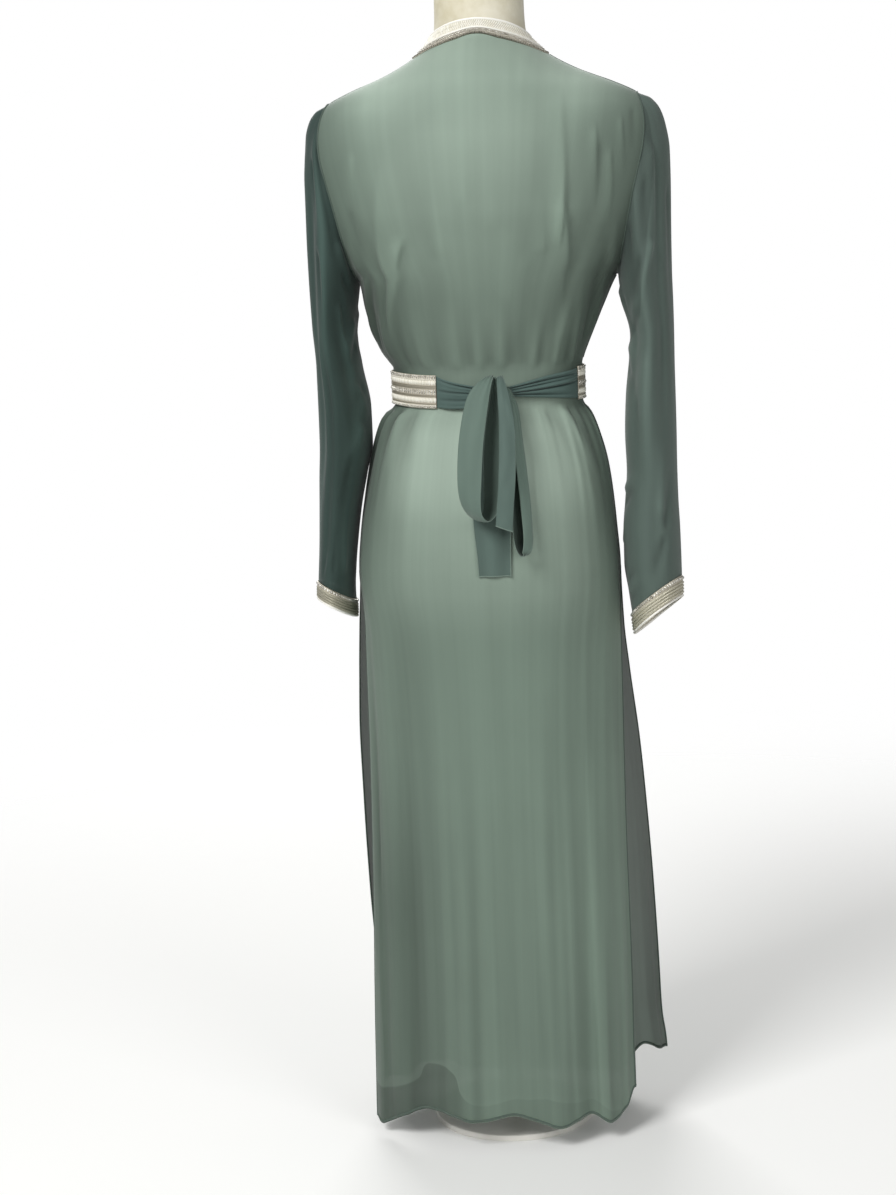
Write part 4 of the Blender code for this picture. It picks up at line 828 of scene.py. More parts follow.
def tubes(name, runs, sides, finish, slot):
    """Tubes joined as one mesh. A run is its number of steps, a function for its places and
    one for its UV map in metres, both of a share along it and a turn round it."""
    whole = bmesh.new()
    chart = whole.loops.layers.uv.new("cloth")
    for steps, spot, lay in runs:
        verts = bmesh.ops.create_grid(whole, x_segments=steps, y_segments=sides,
                                      size=0.5)["verts"]
        for face in {face for vert in verts for face in vert.link_faces}:
            for loop in face.loops:
                loop[chart].uv = lay(loop.vert.co.x + 0.5, loop.vert.co.y * 2 * pi)
        for vert in verts:
            vert.co = spot(vert.co.x + 0.5, vert.co.y * 2 * pi)
    bmesh.ops.remove_doubles(whole, verts=whole.verts, dist=1e-6)
    bmesh.ops.recalc_face_normals(whole, faces=whole.faces)
    return add_piece(name, whole, finish, slot)


def rolled(name, paths, finish, slot, sides=8):
    """Rolls along paths of (place, direction outward, half width, half thickness)."""
    def run(path, closed):
        count = len(path)
        steps = count if closed else count - 1

        def spot(u, turn):
            k = round(u * steps)
            before = path[(k - 1) % count if closed else max(k - 1, 0)][0]
            after = path[(k + 1) % count if closed else min(k + 1, count - 1)][0]
            place, out, wide, thick = path[k % count]
            along = (after - before).normalized()
            beside = along.cross(out).normalized()
            return place + beside.cross(along) * (thick * cos(turn)) + beside * (wide * sin(turn))

        def lay(u, turn):
            return turn / (2 * pi) * ROLL_ROUND, u * steps * ROLL_STEP

        return steps, spot, lay

    return tubes(name, [run(*path) for path in paths], sides, finish, slot)


def dressed(side, across, z):
    """A place on a panel's creased surface and the direction outward there."""
    place = panel_point(side, across, 1, z)
    along = (place - panel_point(side, across * 0.98, 1, z)) * (1 if across > 0 else -1) * side
    down = panel_point(side, across, 1, z - 0.004) - panel_point(side, across, 1, z + 0.004)
    out = along.cross(down).normalized()
    return place + out * panel_lift(side, across, z), out


hem_paths = []
for side in (1, -1):
    edges = [[dressed(side, k / 130 + 1e-4, HEM_Z + HEM_UP) for k in range(-130, 130)]]
    edges += [[dressed(side, hand * SLIT_ACROSS, SLIT_Z - (SLIT_Z - HEM_Z) * k / 110)
               for k in range(111)] for hand in (1, -1)]
    hem_paths += [([(place, out, *HEM_ROLL) for place, out in edge], False) for edge in edges]
dense = chiffon("Sage chiffon rolled hems", "505E55", "505E55", 0.0)
hems_piece = rolled("robe_hems", hem_paths, dense, "chiffon", 6)

seam_paths = []
for hand in (1, -1):
    outward = Vector((hand, 0.0, 0.0))
    ring = [panel_point(1, hand, k / 60) for k in range(61)]
    ring += [panel_point(-1, hand, k / 60) for k in range(60, -1, -1)]
    seam_paths.append(([(place + outward * (SLEEVE_SEAM / 2), outward, *ARMHOLE_ROLL)
                        for place in ring], True))
    side_line = []
    for k in range(81):
        z = UNDERARM_Z - 0.002 + (SLIT_Z - UNDERARM_Z) * k / 80
        x = skirt_point(1, hand, 1.0, z)[0] + hand * 0.0001
        if abs(z - WAIST_Z) > UNDER_BELT:
            side_line.append((Vector((x, 0.0, z)), outward, *SIDE_ROLL))
        elif side_line:
            seam_paths.append((side_line, False))
            side_line = []
    seam_paths.append((side_line, False))
    shoulder = []
    for k in range(41):
        x = NECK_HALF + 0.001 + (SHOULDER_TIP - NECK_HALF - 0.002) * k / 40
        shoulder.append((Vector((hand * x, 0.0, shoulder_z(x))), Vector((0.0, 0.0, 1.0)),
                         *SHOULDER_ROLL))
    seam_paths.append((shoulder, False))
seams = rolled("robe_seams", seam_paths, dense, "chiffon")


# Sleeves: one piece of the same chiffon each, straight and long, set into the armholes with a
# narrow seam. They hang in long folds from the head and crumple at the elbow.
SLEEVE_HEAD = 0.035
# Metres round a sleeve for each degree
SLEEVE_UNIT = 0.00105

# Where round the armhole each direction of the sleeve starts; 0 is outward, 90 to the back
ROOTS = table("angle z", (
    (0, 1.326), (30, 1.3215), (55, 1.31), (75, 1.29), (90, 1.26), (105, 1.222), (120, 1.19),
    (140, 1.155), (160, 1.125), (180, 1.105)))

# Each sleeve's sections: outer and inner distance from the middle, half depth
SLEEVE_FIELDS = "z outer inner depth"
LEFT_SLEEVE = table(SLEEVE_FIELDS, (
    (1.326, 0.1925, 0.168, 0.004), (1.316, 0.208, 0.166, 0.02), (1.303, 0.217, 0.165, 0.035),
    (1.285, 0.222, 0.164, 0.047), (1.255, 0.224, 0.163, 0.058), (1.2, 0.2245, 0.163, 0.066),
    (1.105, 0.2248, 0.165, 0.07), (1.05, 0.2238, 0.1705, 0.069), (1, 0.2215, 0.165, 0.068),
    (0.945, 0.2215, 0.156, 0.067), (0.9, 0.222, 0.1555, 0.066), (0.86, 0.224, 0.164, 0.065),
    (0.82, 0.2255, 0.173, 0.064), (0.78, 0.2275, 0.179, 0.063), (0.74, 0.23, 0.1835, 0.062),
    (0.7, 0.232, 0.186, 0.062), (0.66, 0.232, 0.186, 0.062)))
RIGHT_SLEEVE = table(SLEEVE_FIELDS, (
    (1.326, 0.1925, 0.168, 0.004), (1.318, 0.209, 0.166, 0.02), (1.305, 0.22, 0.165, 0.035),
    (1.285, 0.2265, 0.164, 0.047), (1.255, 0.231, 0.163, 0.058), (1.2, 0.232, 0.163, 0.065),
    (1.105, 0.231, 0.164, 0.069), (1.07, 0.2315, 0.168, 0.068), (1.028, 0.232, 0.177, 0.067),
    (1, 0.2322, 0.175, 0.067), (0.95, 0.2326, 0.17, 0.067), (0.9, 0.2328, 0.168, 0.066),
    (0.86, 0.233, 0.169, 0.065), (0.82, 0.2335, 0.166, 0.064), (0.78, 0.235, 0.163, 0.063),
    (0.74, 0.236, 0.163, 0.062), (0.7, 0.236, 0.168, 0.06), (0.64, 0.2345, 0.1745, 0.058)))

# Large folds down the sleeves: as on the panels, with the direction in degrees as the place
SLEEVE_FOLDS = {
    1: table(FOLD_FIELDS, (
        (48, 13, -0.0075, 1.29, 1.18, 0.95, 0.8), (82, 14, 0.005, 1.2, 1.08, 0.9, 0.8),
        (125, 16, -0.006, 1.14, 1.06, 0.98, 0.88), (-50, 14, -0.007, 1.28, 1.16, 0.95, 0.8),
        (-85, 14, 0.005, 1.2, 1.08, 0.9, 0.8), (-128, 16, -0.005, 1.14, 1.06, 0.98, 0.88),
        (70, 14, -0.0035, 0.9, 0.82, 0.76, 0.73))),
    -1: table(FOLD_FIELDS, (
        (58, 13, -0.007, 1.3, 1.2, 1.02, 0.86), (95, 16, 0.005, 1.18, 1.08, 0.95, 0.8),
        (135, 14, -0.005, 1.12, 1.06, 1, 0.9), (-58, 14, -0.0065, 1.28, 1.16, 0.98, 0.82),
        (-92, 15, 0.005, 1.18, 1.08, 0.95, 0.8), (80, 14, -0.004, 0.86, 0.8, 0.75, 0.71),
        (-75, 14, -0.0035, 0.88, 0.82, 0.76, 0.72)))}

# Sleeve ends: mean height, how much higher the outer and the back side are, the cuff's width
SleeveEnd = namedtuple("SleeveEnd", "z slant lean cuff")
SLEEVE_ENDS = {1: SleeveEnd(0.7110, 0.0130, 0.0105, 0.0230),
               -1: SleeveEnd(0.6970, 0.0240, 0.0120, 0.0270)}

SLEEVE_CREASES = {
    1: table(CREASE_FIELDS, (
        (54, 1.264, 66, 1.155, 0.006, -0.004, 0.3), (66, 1.155, 84, 1.03, 0.006, -0.004, 0.3),
        (60, 1.3, 105, 1.11, 0.01, 0.0036), (70, 1.29, 118, 1.13, 0.006, -0.0036),
        (118, 1.16, 160, 1.09, 0.008, 0.0034, 0.4), (128, 1.12, 168, 1.07, 0.006, -0.0036),
        (117, 1.087, 150, 0.98, 0.008, 0.0036, 0.5), (150, 0.98, 160, 0.93, 0.006, 0.0028),
        (69, 1.06, 63, 0.73, 0.007, 0.004, 0.7), (76, 1.02, 74, 0.76, 0.009, -0.003),
        (175, 1.06, 130, 1.01, 0.007, 0.003), (172, 1.03, 118, 0.99, 0.007, -0.003),
        (168, 0.98, 110, 0.93, 0.008, -0.0028), (150, 0.93, 96, 0.86, 0.009, 0.0028),
        (120, 0.9, 112, 0.78, 0.009, -0.0026), (132, 0.735, 120, 0.84, 0.008, 0.0028, 0.3),
        (70, 0.735, 84, 0.775, 0.006, 0.0026), (62, 0.732, 68, 0.765, 0.005, -0.0024),
        (98, 0.735, 100, 0.8, 0.008, -0.0024), (20, 1.28, 30, 1, 0.009, 0.0028),
        (34, 1.05, 40, 0.8, 0.009, -0.0028), (-40, 1.28, -66, 1.07, 0.009, 0.0034),
        (-84, 1.24, -96, 1.04, 0.009, -0.0034), (-172, 1.07, -115, 1.02, 0.007, 0.003),
        (-170, 1.03, -110, 0.99, 0.007, -0.003), (-150, 0.97, -95, 0.88, 0.009, 0.003),
        (-66, 1.05, -72, 0.76, 0.009, -0.0034), (-130, 0.75, -116, 0.88, 0.008, -0.0028),
        (-40, 0.74, -48, 0.86, 0.008, 0.0028))),
    -1: table(CREASE_FIELDS, (
        (66, 1.27, 70, 1.13, 0.012, 0.0044, -0.8), (70, 1.15, 102, 1.07, 0.011, 0.0042, -0.8),
        (102, 1.08, 172, 1.02, 0.009, 0.0036, -0.7), (82, 1.23, 88, 1.12, 0.008, -0.0036),
        (96, 1.13, 128, 1.06, 0.008, -0.0034), (108, 1.215, 98, 1.12, 0.008, 0.0034, 0.3),
        (126, 1.17, 116, 1.08, 0.007, -0.0032), (174, 1.09, 150, 1.04, 0.007, 0.0034),
        (160, 1.08, 140, 1.03, 0.006, -0.0032), (27, 1.22, 21, 1.06, 0.006, -0.0034),
        (174, 1.015, 124, 1, 0.007, 0.003), (172, 0.99, 112, 0.95, 0.007, -0.0028),
        (99, 1.02, 98, 0.86, 0.012, 0.0028), (124, 0.96, 118, 0.84, 0.01, -0.0024),
        (174, 0.833, 120, 0.856, 0.006, 0.003), (168, 0.815, 124, 0.842, 0.006, -0.0026),
        (57, 0.783, 45, 0.86, 0.008, -0.0036, -0.4), (57, 0.783, 93, 0.712, 0.008, -0.0038, -0.4),
        (70, 0.8, 62, 0.9, 0.009, 0.0028), (153, 0.69, 111, 0.716, 0.005, -0.0034),
        (160, 0.703, 120, 0.728, 0.005, 0.003), (150, 0.722, 118, 0.742, 0.005, -0.0024),
        (165, 0.76, 150, 0.82, 0.007, 0.0026), (-40, 1.28, -64, 1.07, 0.009, 0.0034),
        (-84, 1.24, -98, 1.04, 0.009, -0.0034), (-172, 1.07, -115, 1.02, 0.007, 0.003),
        (-170, 1.03, -112, 0.99, 0.007, -0.003), (-150, 0.97, -92, 0.88, 0.009, 0.003),
        (-60, 1.04, -66, 0.76, 0.009, -0.0034), (-128, 0.74, -114, 0.88, 0.008, -0.0028),
        (-40, 0.74, -46, 0.86, 0.008, 0.0028)))}

# The folded edge down the back of each sleeve, in degrees at each height: past it the cloth
# lies in more layers and is darker, partly from the layers and partly as painted shade
FOLD_EDGE_FIELDS = "z angle"
FOLD_EDGES = {
    1: table(FOLD_EDGE_FIELDS, (
        (1.32, 40), (1.25, 52), (1.15, 61), (1, 60), (0.8, 46), (0.7, 42))),
    -1: table(FOLD_EDGE_FIELDS, (
        (1.32, 50), (1.28, 58), (1.17, 78), (1.1, 94), (1.06, 106), (1.01, 165)))}

# Painted shade, or painted highlight below 0, as on the panels. The first table's places are
# degrees past the folded edge, and the second's are degrees from the outer side
EDGE_PAINTED_SHADE = {1: table(PAINTED_SHADE_FIELDS, ((-0.12, 2, -4, -1, 1, 9, 1), (-0.38, 2, -4, -1, 1, 1.1, 0.15))),
              -1: table(PAINTED_SHADE_FIELDS, ((0.28, -2, 4, 0.99, 0.03, 9, 1),))}
INNER_PAINTED_SHADE = {1: table(PAINTED_SHADE_FIELDS, ((-0.45, 105, 35, -1, 1, 1.08, 0.08),
                               (0.25, 105, 35, 1.06, 0.1, 9, 1))),
               -1: table(PAINTED_SHADE_FIELDS, ((0.28, 105, 35, 1.08, 0.06, 9, 1),))}
# A painted highlight stripe past the left sleeve's folded edge: its middle and width in degrees
STRIPE, STRIPE_WIDTH = 20, 11
STRIPE_PAINTED_HIGHLIGHT = table(PAINTED_SHADE_FIELDS, ((-0.55, -999, 1, 0.96, 0.12, 1.27, 0.08),))

root_z_at = reader(ROOTS, "z")
fold_edge = {hand: reader(rows, "angle") for hand, rows in FOLD_EDGES.items()}
sleeve_sections = {1: readers(LEFT_SLEEVE), -1: readers(RIGHT_SLEEVE)}


def sleeve_point(hand, angle, share, below=0.0, out=0.0):
    """The sleeve's outer surface: angle 0 is outward and 90 is toward the back; share 0 is the
    armhole seam and 1 the sleeve's end, and below goes on past the end."""
    section, end = sleeve_sections[hand], SLEEVE_ENDS[hand]
    turn = radians(angle)
    root_z = root_z_at(abs(angle))
    end_z = end.z + end.slant * cos(turn) + end.lean * sin(turn)
    z = root_z + (end_z - root_z) * share - below
    outer, inner, depth = section["outer"](z), section["inner"](z), section["depth"](z)
    fold = fold_height(SLEEVE_FOLDS[hand], angle, z) + out
    place = Vector(((outer + inner) / 2 + ((outer - inner) / 2 + fold * 0.5) * cos(turn),
                    (depth + fold) * sin(turn), z))
    side = 1 if angle >= 0 else -1
    root_x = armhole_x(root_z)
    root = Vector((root_x + SLEEVE_SEAM, side * yoke_depth(side, root_x, root_z), root_z))
    outer, inner = section["outer"](root_z), section["inner"](root_z)
    start = Vector(((outer + inner) / 2 + (outer - inner) / 2 * cos(turn),
                    section["depth"](root_z) * sin(turn), root_z))
    place += (root - start) * exp(-(root_z - z) / SLEEVE_HEAD)
    return Vector((place.x * hand, place.y, place.z))


def round_angle(hand, u):
    """The angle round a sleeve, from the inner side round the front to the inner side."""
    return -hand * (360.0 * u - 180.0)


def sleeve(name, hand, finish, node):
    """A sleeve from the armhole seam to the cuff, closer rows at its head."""
    def spot(u, v):
        return sleeve_point(hand, round_angle(hand, u), v ** 1.35)

    def lift(u, v, at):
        angle = round_angle(hand, u)
        calm = ease(v / 0.06) * ease((1 - v) / 0.05)
        sway = noise.noise(Vector((at.x * 30, at.y * 30, at.z * 9)))
        return (crease_height(SLEEVE_CREASES[hand], angle, at.z, SLEEVE_UNIT)
                + 0.0009 * sway) * calm

    def looks(u, v, at):
        """Painted shade past the folded edge and on the inner side near the armhole, painted
        highlight where the tables go below 0, and a painted highlight stripe on the left sleeve.
        """
        angle = abs(round_angle(hand, u))
        edge = angle - fold_edge[hand](at.z)
        deep = painted_shade_at(EDGE_PAINTED_SHADE[hand], edge, at.z) + painted_shade_at(INNER_PAINTED_SHADE[hand], angle, at.z)
        if hand > 0:
            highlight_stripe = exp(-((edge - STRIPE) / STRIPE_WIDTH) ** 2)
            deep += highlight_stripe * painted_shade_at(STRIPE_PAINTED_HIGHLIGHT, edge, at.z)
        return 0.0, deep

    return shell(name, 120, 170, spot, finish, "chiffon", [node], closed=True, lift=lift,
                 size=(0.30, 0.62), looks=looks)


# The left sleeve's copy of the chiffon is darker than the right's: painted shade, as both are the
# same cloth
sage_left_painted_shade = chiffon("Sage chiffon left sleeve", "344540", "849487", 0.03)
sage_right = chiffon("Sage chiffon right sleeve", "596861", "849487", 0.03)
left_sleeve = sleeve("robe_sleeve_left", 1, sage_left_painted_shade, "sleeve_left")
right_sleeve = sleeve("robe_sleeve_right", -1, sage_right, "sleeve_right")


# Neck braid: a cream galloon sewn round the neck edge. From its upper edge down: white piping,
# two rows of slanted satin stitches, a thin cord, small bead crosses and a row of dark beads.
# Thickness of the braids in the solids
BRAID = 0.0020
CORD_SIDES = 10
BAND_NAPE = (0.0525, 1.4195)
BAND_SIDE = (0.0635, 1.3955)
BAND_WIDTH = 0.024
BAND_SEAM = 0.0008

# A row of small shapes sewn on a band: how far down it runs, how far apart they are, their
# half sizes along and across the row and outward, their turn in degrees and their lift
Row = namedtuple("Row", "down apart along across out turn lift")
# A cord laid on a band: how far down, its radius and its lift
Laid = namedtuple("Laid", "down radius lift")
# A strip that rows and cords are sewn on: spot(u, v) gives its places
Band = namedtuple("Band", "spot length closed")


def band(upper, lower, closed=True):
    """The strip between two lines of places, spread evenly along."""
    if closed:
        upper, lower = upper + upper[:1], lower + lower[:1]
    middle = [(a + b) / 2 for a, b in zip(upper, lower)]
    reach = [0.0]
    for a, b in zip(middle, middle[1:]):
        reach.append(reach[-1] + (b - a).length)

    def spot(u, v):
        at = (u % 1.0 if closed else min(max(u, 0.0), 1.0)) * reach[-1]
        k = min(bisect_right(reach, at) - 1, len(reach) - 2)
        t = (at - reach[k]) / (reach[k + 1] - reach[k])
        return upper[k].lerp(upper[k + 1], t).lerp(lower[k].lerp(lower[k + 1], t), v)

    return Band(spot, reach[-1], closed)


def bearings(spot, u, v):
    """A place on a band with the directions along, down and outward there."""
    along = (spot(u + 0.004, v) - spot(u - 0.004, v)).normalized()
    down = (spot(u, v + 0.1) - spot(u, v - 0.1)).normalized()
    out = along.cross(down).normalized()
    return spot(u, v), along, out.cross(along), out


def sewn_rows(name, strip, rows, sides, finish):
    """Rows of small round shapes on a band, joined as one mesh."""
    seed = bmesh.new()
    bmesh.ops.create_uvsphere(seed, u_segments=sides[0], v_segments=sides[1], radius=1.0)
    shape = [vert.co.copy() for vert in seed.verts]
    polygons = [[vert.index for vert in face.verts] for face in seed.faces]
    seed.free()
    places, faces, tones = [], [], []
    for row in rows:
        count = max(round(strip.length / row.apart), 1)
        for k in range(count):
            u = (k + 0.5) / count
            at, along, down, out = bearings(strip.spot, u, row.down)
            wobble = noise.noise(at * 900.0)
            turn = radians(row.turn + 7 * wobble)
            first = along * cos(turn) + down * sin(turn)
            second = down * cos(turn) - along * sin(turn)
            centre = at + out * row.lift + down * (0.0002 * wobble)
            start = len(places)
            places += [centre + first * (p.x * row.along) + second * (p.y * row.across)
                       + out * (p.z * row.out) for p in shape]
            faces += [[start + index for index in polygon] for polygon in polygons]
            tones += [wobble] * len(shape)
    mesh = bpy.data.meshes.new(name + "_rows")
    mesh.from_pydata(places, [], faces)
    mesh.attributes.new("own_tone", "FLOAT", "POINT").data.foreach_set("value", tones)
    whole = bmesh.new()
    whole.from_mesh(mesh)
    bpy.data.meshes.remove(mesh)
    return add_piece(name, whole, finish, "braid")


def laid_cords(name, strip, cords, finish, steps=240):
    """Round cords laid along a band."""
    def run(cord):
        def spot(u, turn):
            at, along, down, out = bearings(strip.spot, u % 1.0 if strip.closed else u, cord.down)
            return at + out * (cord.lift + cord.radius * cos(turn)) + down * (
                cord.radius * sin(turn))

        return steps, spot, lambda u, turn: (u * strip.length, turn * cord.radius)

    return tubes(name, [run(cord) for cord in cords], CORD_SIDES, finish, "braid")


# The period of a wave texture of scale 1, in metres
WAVE_PERIOD = 0.314


def ground_cloth(name, dark, pale, threads):
    """Cream ground of a braid: fine crosswise threads."""
    made, tree, shader = new_finish(name, Roughness=0.55, Specular_IOR_Level=0.4)
    chart = add(tree, "UVMap", uv_map="cloth")
    ribs = add(tree, "TexWave", {
        "Vector": chart, "Scale": WAVE_PERIOD / threads, "Distortion": 0.6, "Detail": 1.0})
    two_tone(tree, shader, ribs.outputs["Fac"], dark, pale)
    bumped(tree, shader, ribs.outputs["Fac"], 0.0002)
    return made


def thread(name, dark, pale, metallic, roughness):
    """Twisted thread or bead finish with a tone of its own for each copy."""
    made, tree, shader = new_finish(name, Roughness=roughness, Metallic=metallic)
    own = add(tree, "Attribute", attribute_name="own_tone").outputs["Fac"]
    share = add(tree, "MapRange", {"Value": own, "From Min": -0.6, "From Max": 0.6})
    two_tone(tree, shader, share, dark, pale)
    return made


braid_ground = ground_cloth("Cream braid ground", "A39C8A", "E2DCCB", 0.0012)
cream_satin = thread("Cream satin stitches", "EAE6D6", "FBF9F0", 0.0, 0.36)
white_piping = thread("White cotton piping", "F4F1E8", "FBFAF4", 0.0, 0.6)
pearl_beads = thread("Silver pearl beads", "9A968C", "F4F1E8", 0.55, 0.22)
dark_beads = thread("Smoky silver beads", "55524C", "A8A498", 0.7, 0.25)
dull_cord = thread("Brown-grey metal cord", "8F897A", "A39C8C", 0.4, 0.4)


def neck_lines():
    """The braid's upper and lower edges: the lower follows the panels' neck edges, and the
    upper stands round the neck of the form and runs down the V."""
    def upper(side, hand, part):
        turn = part / NECK_PART * pi / 2
        if side > 0:
            z = BAND_SIDE[1] + (BAND_NAPE[1] - BAND_SIDE[1]) * cos(turn) ** 1.3
            return Vector((hand * BAND_SIDE[0] * sin(turn), BAND_NAPE[0] * cos(turn), z))
        share = part / NECK_PART
        v_height = shoulder_z(NECK_HALF) - V_POINT_Z
        half_angle = asin(NECK_HALF / sqrt(NECK_HALF ** 2 + v_height ** 2))
        z = V_POINT_Z + BAND_WIDTH / sin(half_angle)
        z += (BAND_SIDE[1] - z) * share ** 1.05
        x = BAND_SIDE[0] * share
        return Vector((hand * x, -yoke_depth(-1, x, z), z))

    parts = COLUMNS[:NECK_COLUMNS + 1]
    tops, lows = [], []
    for side, hand, order in ((1, 1, parts), (-1, 1, parts[-2::-1]), (-1, -1, parts[1:]),
                              (1, -1, parts[-2:0:-1])):
        for part in order:
            low, high = panel_point(side, hand * part, 0), upper(side, hand, part)
            lows.append(low + (high - low).normalized() * BAND_SEAM)
            tops.append(high)
    return tops, lows


def braid_strip(name, strip, node, width, steps=240):
    """The cream ground that a braid's rows are sewn on."""
    return shell(name, steps, 4, strip.spot, braid_ground, "braid", [node], closed=strip.closed,
                 size=(strip.length, width), thickness=0.0012)


neck = band(*neck_lines())
neck_braid = braid_strip("neck_braid", neck, "neck_band", BAND_WIDTH)
laid_cords("neck_piping", neck, [Laid(0.03, 0.0015, 0.0003), Laid(0.60, 0.0010, 0.0008)],
           white_piping)
sewn_rows("neck_stitches", neck,
          [Row(0.20, 0.0026, 0.0042, 0.0010, 0.0010, 62, 0.0006),
           Row(0.42, 0.0026, 0.0042, 0.0010, 0.0010, 62, 0.0006),
           Row(0.52, 0.0016, 0.0014, 0.0007, 0.0008, 0, 0.0006)], (6, 4), cream_satin)
sewn_rows("neck_lattice", neck,
          [Row(0.73, 0.0021, 0.0019, 0.0005, 0.0007, 48, 0.0008),
           Row(0.73, 0.0021, 0.0019, 0.0005, 0.0007, -48, 0.0008),
           Row(0.84, 0.0017, 0.0008, 0.0006, 0.0007, 0, 0.0007)], (6, 4), pearl_beads)
sewn_rows("neck_beads", neck, [Row(0.95, 0.0030, 0.0012, 0.0013, 0.0012, 0, 0.0008)], (8, 5),
          dark_beads)


# Cuff braids: a galloon round each sleeve's end. A row of pearl beads runs along its upper edge
# and rope-like silver-gold cords below it down to a pale lower edge.
CUFF_GAP = 0.0009
# Thickness of the cloth in the solids
CLOTH = 0.0012
CORD_STRAND = 0.0016
CUFF_STEPS = 180


def twisted_cord(name, light, deep):
    """Metal cord of slanting twisted strands."""
    made, tree, shader = new_finish(name, Roughness=0.38, Metallic=0.35)
    chart = add(tree, "UVMap", uv_map="cloth")
    slant = add(tree, "Mapping", {"Vector": chart, "Rotation": (0, 0, radians(38))})
    strand = add(tree, "TexWave", {"Vector": slant, "Scale": WAVE_PERIOD / CORD_STRAND})
    # The dark tone between the strands is painted shade in their grooves
    two_tone(tree, shader, strand.outputs["Fac"], deep, light)
    bumped(tree, shader, strand.outputs["Fac"], 0.0005)
    return made


# The left cuff's cord is darker than the right's: painted shade, as both are the same cord
CORD_TONES_LIT_AND_SHADED = {1: ("D2CEBC", "8D8A75"), -1: ("F6F2DF", "ADA990")}
for side_name, hand in (("left", 1), ("right", -1)):
    silver_cord = twisted_cord("Silver-gold cord " + side_name, *CORD_TONES_LIT_AND_SHADED[hand])
    width = SLEEVE_ENDS[hand].cuff
    edges = []
    for below in (CUFF_GAP, CUFF_GAP + width):
        edges.append([sleeve_point(hand, round_angle(hand, k / CUFF_STEPS), 1.0, below,
                                   BRAID - CLOTH) for k in range(CUFF_STEPS)])
    strip = band(*edges)
    cuff = braid_strip("cuff_braid_" + side_name, strip, "cuff_" + side_name, width, CUFF_STEPS)
    laid_cords("cuff_cords_" + side_name, strip,
               [Laid(down, 0.0016, 0.0005) for down in (0.32, 0.47, 0.62, 0.77)], silver_cord,
               CUFF_STEPS)
    laid_cords("cuff_edge_" + side_name, strip, [Laid(0.94, 0.0014, 0.0003)], white_piping,
               CUFF_STEPS)
    sewn_rows("cuff_beads_" + side_name, strip,
              [Row(0.10, 0.0042, 0.0018, 0.0018, 0.0016, 0, 0.0008)], (10, 6), pearl_beads)


# Belt panel: a wide galloon across the front and both sides. From its upper edge down: beads,
# satin braid, thin cords, a row of bead crosses, thin cords, satin braid and beads.
BELT_TOP = 0.9920
BELT_BOTTOM = 0.9505
BELT_DROOP = 0.0035
BELT_ENDS = (30.0, 290.0)
# Gap between the robe at the waist and what lies on it
REST = 0.0005


def waist_point(angle, z, out):
    """A point round the waist: 0 is the middle of the back, 90 the robe's left side."""
    turn = radians(angle)
    half = trunk["left" if sin(turn) > 0 else "right"](z) + out
    depth = depth_at(cos(turn), z) + out
    return Vector((half * sin(turn), depth * cos(turn), z))


def belt_line(share):
    """A line round the belt: 0 is its upper edge and 1 its lower edge."""
    places = []
    for k in range(241):
        angle = BELT_ENDS[0] + (BELT_ENDS[1] - BELT_ENDS[0]) * k / 240
        place = waist_point(angle, WAIST_Z, REST + BRAID)
        droop = BELT_DROOP * ease((80.0 - angle) / 50.0)
        places.append(Vector((place.x, place.y,
                              BELT_TOP - droop + (BELT_BOTTOM - BELT_TOP) * share)))
    return places


belt = band(belt_line(0.0), belt_line(1.0), closed=False)
belt_braid = braid_strip("belt_braid", belt, "belt_band", BELT_TOP - BELT_BOTTOM)
laid_cords("belt_cords", belt,
           [Laid(down, 0.0006, 0.0006) for down in (0.325, 0.365, 0.400, 0.605, 0.640, 0.860)],
           dull_cord)
sewn_rows("belt_satin", belt,
          [Row(0.225, 0.0016, 0.0036, 0.0008, 0.0011, 80, 0.0004),
           Row(0.750, 0.0016, 0.0038, 0.0008, 0.0011, 80, 0.0004),
           Row(0.135, 0.0022, 0.0016, 0.0006, 0.0008, 45, 0.0006),
           Row(0.915, 0.0022, 0.0016, 0.0006, 0.0008, -45, 0.0006)], (6, 4), cream_satin)
sewn_rows("belt_lattice", belt,
          [Row(down, 0.0036, 0.0022, 0.0006, 0.0008, turn, 0.0007)
           for down in (0.47, 0.54) for turn in (52, -52)]
          + [Row(0.09, 0.0032, 0.0017, 0.0005, 0.0007, turn, 0.0007) for turn in (50, -50)],
          (6, 4), pearl_beads)
sewn_rows("belt_beads", belt,
          [Row(down, 0.0032, 0.0013, 0.0013, 0.0012, 0, 0.0007) for down in (0.035, 0.965)]
          + [Row(0.505, 0.0036, 0.0010, 0.0010, 0.0013, 0, 0.0010)], (8, 5), pearl_beads)


# Sashes: plain chiffon ties in several layers, sewn to the belt panel's ends. They are flat there
# and gathered into deep pleats toward the knot, so they look dense and cooler than the robe.
# Along is 0 at the belt and 1 at the knot
SASH_FIELDS = "along angle top bottom out"
SASH_LEFT = table(SASH_FIELDS, (
    (0, 29.6, 0.987, 0.9485, 0.0003), (0.5, 18.5, 0.98, 0.947, 0.0008),
    (1, 4.2, 0.974, 0.949, 0.004)))
SASH_RIGHT = table(SASH_FIELDS, (
    (0, -69.6, 0.99, 0.9525, 0.0003), (0.5, -42, 0.985, 0.9565, 0.0008),
    (1, -11.6, 0.972, 0.962, 0.004)))
SASH_WIDTH = 0.038
SASH_LIFT = 0.0022
# Painted shade in a pleat's trough, partly also its denser cloth: darker for each metre of its
# depth, up to a most
TROUGH_PAINTED_SHADE, TROUGH_SHADE_MOST = 200.0, 0.55

